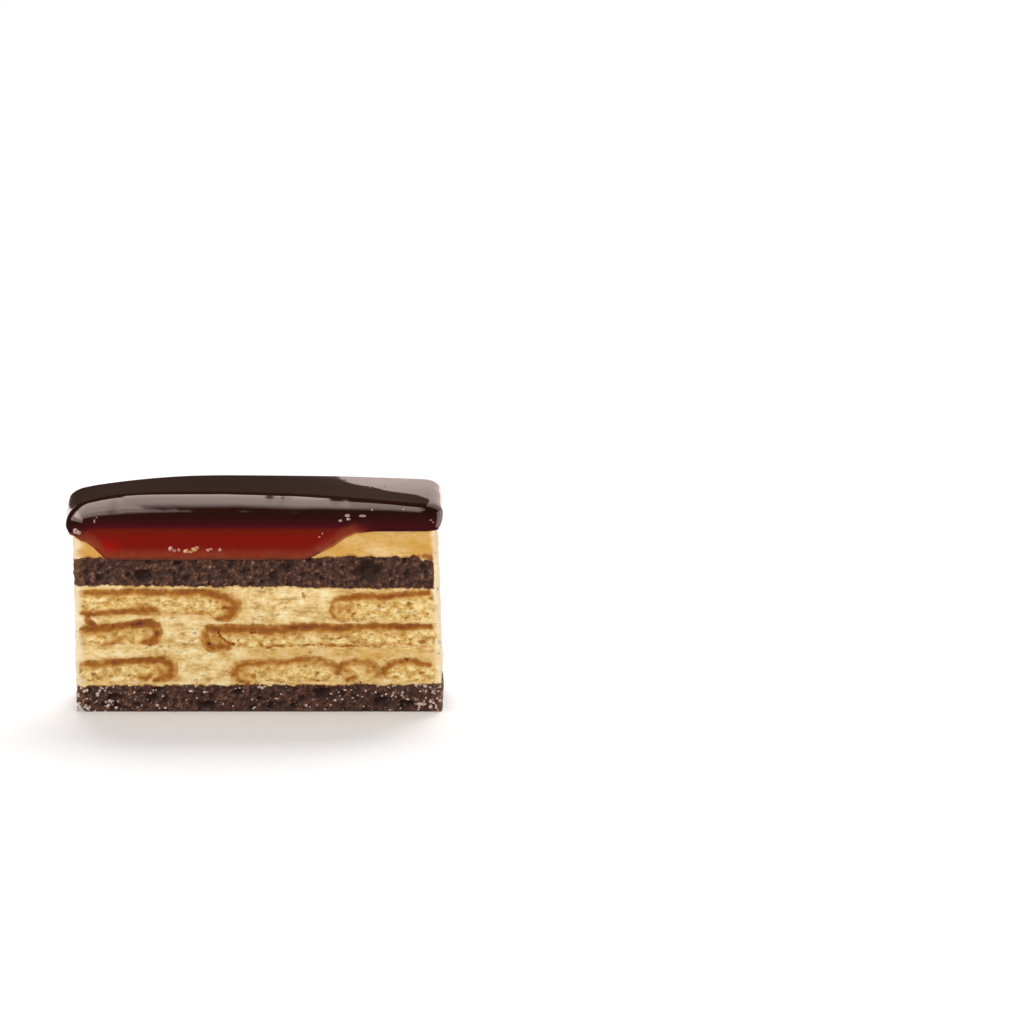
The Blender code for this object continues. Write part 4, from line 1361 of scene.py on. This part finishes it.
def build_cream_top(settings):
    """The thin cream under the glaze, which wraps down over the right end of the sponge."""
    cell = CREAM_CELL * settings.cell

    def sheet(u, v):
        above, below = place_at(u, SPONGE_TOP), place_at(u, FILLING_TOP)
        wrapped = ease(above, SPONGE_END - 1.6 * MM, SPONGE_END - 0.8 * MM)
        z = mix(mix(sponge_top(above) - 0.2 * MM, filling_top(below) - 0.1 * MM, wrapped), CREAM_TOP, v)
        return place_at(u, z), z

    rows = int((CREAM_TOP - SPONGE_TOP) / cell)
    bm = cut_block(sheet, int(119 * MM / cell), rows, int((BACK - FRONT) / (1.5 * cell)))
    return add_cream(settings, "cream_top_cut", bm, "cream_top")


def build_finger(settings, shape):
    """One sponge finger, flush with the cream in both cut faces."""
    cell = 0.9 * settings.cell

    def sheet(u, v):
        spread = mix(u, 0.5 - 0.5 * math.cos(math.pi * u), 0.45)
        x = mix(shape.left, shape.right, spread)
        floor, roof = shape.span(x)
        return x, mix(floor - 0.12 * MM, roof + 0.12 * MM, v)

    def relief(point):
        brown = browning(point)
        open_crumb = 1.0 - ease(brown, 0.4, 0.75)
        flat = Vector((point.x / 1.35, point.y / 1.35, point.z))
        flat += 0.3 * MM * noise.noise_vector(point / (0.8 * MM))
        hole = pores(flat, 1.5 * MM, 0.46) * open_crumb
        small = pores(flat + Vector((0.1, 0.2, 0.3)), 0.8 * MM, 0.48) * open_crumb
        lump = lumps(flat, 1.7 * MM)
        crack = ease(brown, 1.05, 1.35)
        depth = 0.36 * MM * hole + 0.15 * MM * small - 0.14 * MM * lump
        depth += 0.6 * MM * crack - 0.14 * MM * (1.0 - open_crumb)
        # The second mark is painted shade: in the holes and the low places between lumps.
        return depth, (brown, min(1.0, 0.9 * hole + 0.45 * small + max(0.0, -0.7 * lump) * open_crumb))

    length, height = shape.right - shape.left, shape.roof - shape.floor
    bm = cut_block(sheet, int(length / cell), int(height / cell), 1)
    marks = press_in(bm, relief)
    return add_piece(
        shape.node + "_cut",
        bm,
        bpy.data.materials.get("baked_sponge_finger") or finger_material(settings),
        shape.node,
        "sponge_finger",
        brown=[brown for brown, _ in marks],
        hollow=[hole for _, hole in marks],
        coat=[side_coat(vert.co) for vert in bm.verts],
    )


class CAKE_OT_sponges(bpy.types.Operator):
    """Build the two cocoa sponges with their torn crumb"""

    bl_idname = "cake_slice.sponges"
    bl_label = "Cocoa Sponges"

    def execute(self, context):
        settings = settings_of(context)

        def floor(x):
            return CHIP_HEIGHT * (1.0 - ease(x, LEFT_FOOT, LEFT_FOOT + CHIP_WIDTH)) ** 1.4

        # More painted glints towards the lower sponge's ends.
        def base_glint_share(point):
            ends = ease(abs(point.x), 30 * MM, 55 * MM)
            return mix(0.62, 1.0, ends)

        sponge_piece(
            settings, "sponge_base_crumb", "sponge_base", floor, base_top, None, BASE_PORES, base_glint_share
        )
        sponge_piece(
            settings,
            "sponge_upper_crumb",
            "sponge_upper",
            filling_top,
            sponge_top,
            SPONGE_END,
            BIG_PORES,
            lambda point: 0.5,
        )
        return {"FINISHED"}


class CAKE_OT_cream(bpy.types.Operator):
    """Build the cream between the sponges and the thin cream under the glaze"""

    bl_idname = "cake_slice.cream"
    bl_label = "Caramel Cream"

    def execute(self, context):
        settings = settings_of(context)
        build_filling(settings)
        build_cream_top(settings)
        return {"FINISHED"}


class CAKE_OT_fingers(bpy.types.Operator):
    """Build the sponge fingers with their crumb and browned crusts"""

    bl_idname = "cake_slice.fingers"
    bl_label = "Sponge Fingers"

    def execute(self, context):
        settings = settings_of(context)
        for shape in finger_shapes():
            build_finger(settings, shape)
        return {"FINISHED"}


class CAKE_OT_glaze(bpy.types.Operator):
    """Build the thick caramel glaze and its run down the front"""

    bl_idname = "cake_slice.glaze"
    bl_label = "Caramel Glaze"

    def execute(self, context):
        material = glaze_material(settings_of(context))
        add_piece("caramel_glaze_poured", build_glaze(), material, "caramel_glaze", "caramel_glaze")
        return {"FINISHED"}


# ---------------------------------------------------------------- stage

PIXEL = 0.3306 * MM  # real width of a photo pixel at the front face
VIEW_ANGLE = math.radians(8.0)
SLICE_PIXEL = (254.0, 712.5)  # where the middle of the front face's foot shows in the photo
WHITE, WARM = (1.0, 1.0, 1.0), (1.0, 0.8, 0.75)  # tones of the lights


# The long soft light overhead, in lengths: from, to along the slice, then for each strip of it from, to
# towards the back, and its brightness.
OVERHEAD = (
    (-2.6, -0.19, ((-0.5, 0.3, 8.0), (-1.15, -0.5, 7.0), (-1.9, -1.15, 4.5), (-2.4, -1.9, 2.2))),
    (-0.19, -0.155, ((-0.5, 0.57, 6.6), (-1.15, -0.5, 6.2), (-1.9, -1.15, 3.9), (-2.4, -1.9, 2.0))),
    (
        -0.155,
        0.02,
        ((-0.5, 0.57, 6.6), (-0.66, -0.5, 5.3), (-0.8, -0.66, 3.8), (-0.95, -0.8, 2.1), (-1.15, -0.95, 0.9)),
    ),
    (0.02, 0.11, ((-0.5, 0.12, 5.0), (-0.8, -0.5, 3.8), (-1.15, -0.8, 1.4))),
    (0.11, 0.22, ((-0.5, 0.12, 3.2), (-0.8, -0.5, 2.0))),
    (0.22, 0.34, ((-0.45, 0.02, 2.4),)),
)


# Soft cards that only the gloss shows: name, width and height, place, the point each faces and brightness.
CARDS = (
    ("low_card", (1.6, 0.7), (0.85, 2.5, -0.2), (0.85, 0.0, -0.2), 0.9),
    ("left_line", (0.6, 0.2), (-0.47, 2.5, -0.2), (-0.47, 0.0, -0.2), 1.3),
    ("left_edge", (0.3, 0.25), (-0.805, 2.5, 0.125), (-0.805, 0.0, 0.125), 1.3),
    ("left_soft", (4.9, 1.25), (-2.4, -1.55, 1.075), (0.0, -1.55, 1.075), 4.0),
    ("right_card", (1.4, 1.6), (1.9, 0.7, 0.1), (0.0, 0.0, 0.07), 2.6),
)


def add_light(name, size, place, aim, radiance, colour=WHITE, **visible):
    """A rectangular soft light with the given brightness of its face."""
    data = bpy.data.lights.new(name, "AREA")
    data.shape = "RECTANGLE"
    data.size, data.size_y = size
    data.energy = radiance * math.pi * size[0] * size[1]
    data.color = colour
    lamp = bpy.data.objects.new(name, data)
    bpy.context.scene.collection.objects.link(lamp)
    lamp.location = place
    lamp.rotation_euler = (Vector(aim) - Vector(place)).to_track_quat("-Z", "Y").to_euler()
    for kind, seen in {"camera": False, **visible}.items():
        setattr(lamp, "visible_" + kind, seen)
    return lamp


class CAKE_OT_crumbs(bpy.types.Operator):
    """Build the crumbs on the slice's sides and the bubbles in its glaze"""

    bl_idname = "cake_slice.crumbs"
    bl_label = "Crumbs and Bubbles"

    def execute(self, context):
        trees = {}
        for name in ("caramel_glaze_poured", "sponge_base_crumb"):
            bm = bmesh.new()
            bm.from_mesh(bpy.data.objects[name].data)
            trees[name] = BVHTree.FromBMesh(bm)
            bm.free()
        poured, base = trees["caramel_glaze_poured"], trees["sponge_base_crumb"]
        # The bubbles' pale tones are painted highlights on small glossy domes.
        painted_highlight_bubble = bit_material("bubble_with_painted_highlight", "#7d5a54", "#c9aca5", 0.2)
        golden = bit_material("golden_moist_crumb", "#a05a30", "#dfa871", 0.4)
        pale = bit_material("sugary_speck_and_painted_glint", "#b08e80", "#e6d3cb", 0.35)
        dark = bit_material("loose_cocoa_crumb", "#2a130c", "#5a3b2c", 0.8)
        painted_highlight_rosy_bubble = bit_material("rosy_bubble_with_painted_highlight", "#8f3b2b", "#d89a84", 0.35)
        add_bits("glaze_bubbles", painted_highlight_bubble, "caramel_glaze", stuck_on(poured, GLAZE_BUBBLES), 0.3, 3)
        add_bits("run_bubbles", painted_highlight_rosy_bubble, "caramel_glaze", stuck_on(poured, RUN_BUBBLES), 0.4, 3)
        add_bits("golden_crumbs", golden, "caramel_cream", stuck_on(poured, RUN_CRUMBS), 0.6, 3)
        # Pale specks: partly sugary crumbs, partly painted glints of moist crumb.
        specks = [
            *stuck_on(base, PALE_SPECKS + EDGE_CRUMBS),
            *strewn(420, 5, 0.5 * MM, 8.8 * MM, 0.12 * MM, 0.6 * MM, 0.95),
        ]
        add_bits("pale_specks", pale, "cocoa_sponge", specks, 0.5)
        crumbs = [
            *strewn(60, 6, BASE_TOP - 0.5 * MM, BASE_TOP + 1.2 * MM, 0.12 * MM, 0.4 * MM),
            *strewn(40, 7, FILLING_TOP - 1.2 * MM, FILLING_TOP, 0.12 * MM, 0.35 * MM),
            *strewn(24, 8, 10 * MM, 40 * MM, 0.1 * MM, 0.3 * MM, 0.9),
        ]
        add_bits("cocoa_crumbs", dark, "cocoa_sponge", crumbs, 0.6)
        return {"FINISHED"}


class CAKE_OT_stage(bpy.types.Operator):
    """Build the pale floor, the soft lights and the camera"""

    bl_idname = "cake_slice.stage"
    bl_label = "Stage"

    def execute(self, context):
        scene = context.scene
        bm = bmesh.new()
        bmesh.ops.create_grid(bm, x_segments=1, y_segments=1, size=30.0)
        mesh = bpy.data.meshes.new("floor")
        bm.to_mesh(mesh)
        bm.free()
        material, tree, shader, place = new_material("white_card")
        speck = add_node(tree, "ShaderNodeTexNoise", {"Vector": place, "Scale": 1 / (40 * MM)}).outputs["Fac"]
        tone = add_node(tree, "ShaderNodeMapRange", {"Value": speck, "To Min": 0.93, "To Max": 0.95})
        tree.links.new(tone.outputs["Result"], shader.inputs["Base Color"])
        shader.inputs["Roughness"].default_value = 0.8
        shader.inputs["Specular IOR Level"].default_value = 0.1
        shader.inputs["Emission Color"].default_value = rgba(WHITE)
        shader.inputs["Emission Strength"].default_value = 0.15
        mesh.materials.append(material)
        floor = bpy.data.objects.new("floor", mesh)
        scene.collection.objects.link(floor)
        floor.visible_glossy = False

        world = bpy.data.worlds.new("soft_room")
        world.use_nodes = True
        tree = world.node_tree
        tree.nodes.clear()
        ray = add_node(tree, "ShaderNodeLightPath")
        reflected = add_node(tree, "ShaderNodeBackground", {"Color": (0.055, 0.042, 0.032, 1.0)})
        ambient = add_node(tree, "ShaderNodeBackground", {"Color": rgba(WHITE), "Strength": 0.42})
        shown = add_node(tree, "ShaderNodeBackground", {"Color": rgba(WHITE)})
        room = add_node(
            tree,
            "ShaderNodeMixShader",
            {0: ray.outputs["Is Glossy Ray"], 1: ambient.outputs[0], 2: reflected.outputs[0]},
        )
        room = add_node(
            tree,
            "ShaderNodeMixShader",
            {0: ray.outputs["Is Camera Ray"], 1: room.outputs[0], 2: shown.outputs[0]},
        )
        add_node(tree, "ShaderNodeOutputWorld", {"Surface": room.outputs[0]})
        scene.world = world

        data = bpy.data.lights.new("key", "SUN")
        data.energy = 0.98 * math.pi
        data.angle = math.radians(45)
        key = bpy.data.objects.new("key", data)
        scene.collection.objects.link(key)
        key.rotation_euler = Vector((-0.1, -1.0, -0.64)).to_track_quat("-Z", "Y").to_euler()
        key.visible_glossy = False
        add_light("front_fill", (2.5, 1.2), (0.0, -2.3, 0.75), (0.0, 0.0, 0.04), 2.2, glossy=False)
        for first, last, strips in OVERHEAD:
            for start, end, radiance in strips:
                middle = Vector(((first + last) / 2, (start + end) / 2, 1.0))
                size = (last - first, end - start)
                below = middle - Vector((0, 0, 1))
                add_light("overhead", size, middle, below, radiance, WARM, diffuse=False)
        place, aim = (1.666, 2.0, 0.666), (1.666, 0.0, 0.666)
        card = add_light("back_card", (3.0, 5.0), place, aim, 1.07, WARM, diffuse=False)
        card.rotation_euler.rotate_axis("Z", math.radians(18.7))
        for name, size, place, aim, radiance in CARDS:
            add_light(name, size, place, aim, radiance, WARM, diffuse=False)

        distance = PIXEL * IMAGE_PIXELS / 2 / math.tan(VIEW_ANGLE / 2)
        aim = Vector(
            (
                (IMAGE_PIXELS / 2 - SLICE_PIXEL[0]) * PIXEL,
                FRONT,
                (SLICE_PIXEL[1] - IMAGE_PIXELS / 2) * PIXEL / math.cos(CAMERA_RISE),
            )
        )
        data = bpy.data.cameras.new("camera")
        data.sensor_width = 36.0
        data.lens = data.sensor_width / 2 / math.tan(VIEW_ANGLE / 2)
        data.clip_start, data.clip_end = 0.01, 100.0
        camera = bpy.data.objects.new("camera", data)
        scene.collection.objects.link(camera)
        away = Vector((0.0, -math.cos(CAMERA_RISE), math.sin(CAMERA_RISE)))
        camera.location = aim + away * distance
        camera.rotation_euler = (-away).to_track_quat("-Z", "Y").to_euler()
        scene.camera = camera
        scene.view_settings.view_transform = "Standard"
        return {"FINISHED"}


class CAKE_PT_panel(bpy.types.Panel):
    """Lists the slice's settings and the steps that build it"""

    bl_label = "Caramel Cake Slice"
    bl_idname = "CAKE_PT_panel"
    bl_space_type = "VIEW_3D"
    bl_region_type = "UI"
    bl_category = "Cake"

    def draw(self, context):
        settings = settings_of(context)
        for name in ("cell", "pore", "cocoa", "cream", "biscuit", "browned", "caramel"):
            self.layout.prop(settings, name)
        for operator in OPERATORS:
            self.layout.operator(operator.bl_idname)


OPERATORS = (CAKE_OT_sponges, CAKE_OT_cream, CAKE_OT_fingers, CAKE_OT_glaze, CAKE_OT_crumbs, CAKE_OT_stage)
CLASSES = (CakeSliceSettings, *OPERATORS, CAKE_PT_panel)


def register():
    for cls in CLASSES:
        bpy.utils.register_class(cls)
    bpy.types.Scene.cake_slice = bpy.props.PointerProperty(type=CakeSliceSettings)


def unregister():
    del bpy.types.Scene.cake_slice
    for cls in reversed(CLASSES):
        bpy.utils.unregister_class(cls)


def main():
    register()
    bpy.ops.cake_slice.sponges()
    bpy.ops.cake_slice.cream()
    bpy.ops.cake_slice.fingers()
    bpy.ops.cake_slice.glaze()
    bpy.ops.cake_slice.crumbs()
    bpy.ops.cake_slice.stage()


if __name__ == "__main__":
    main()
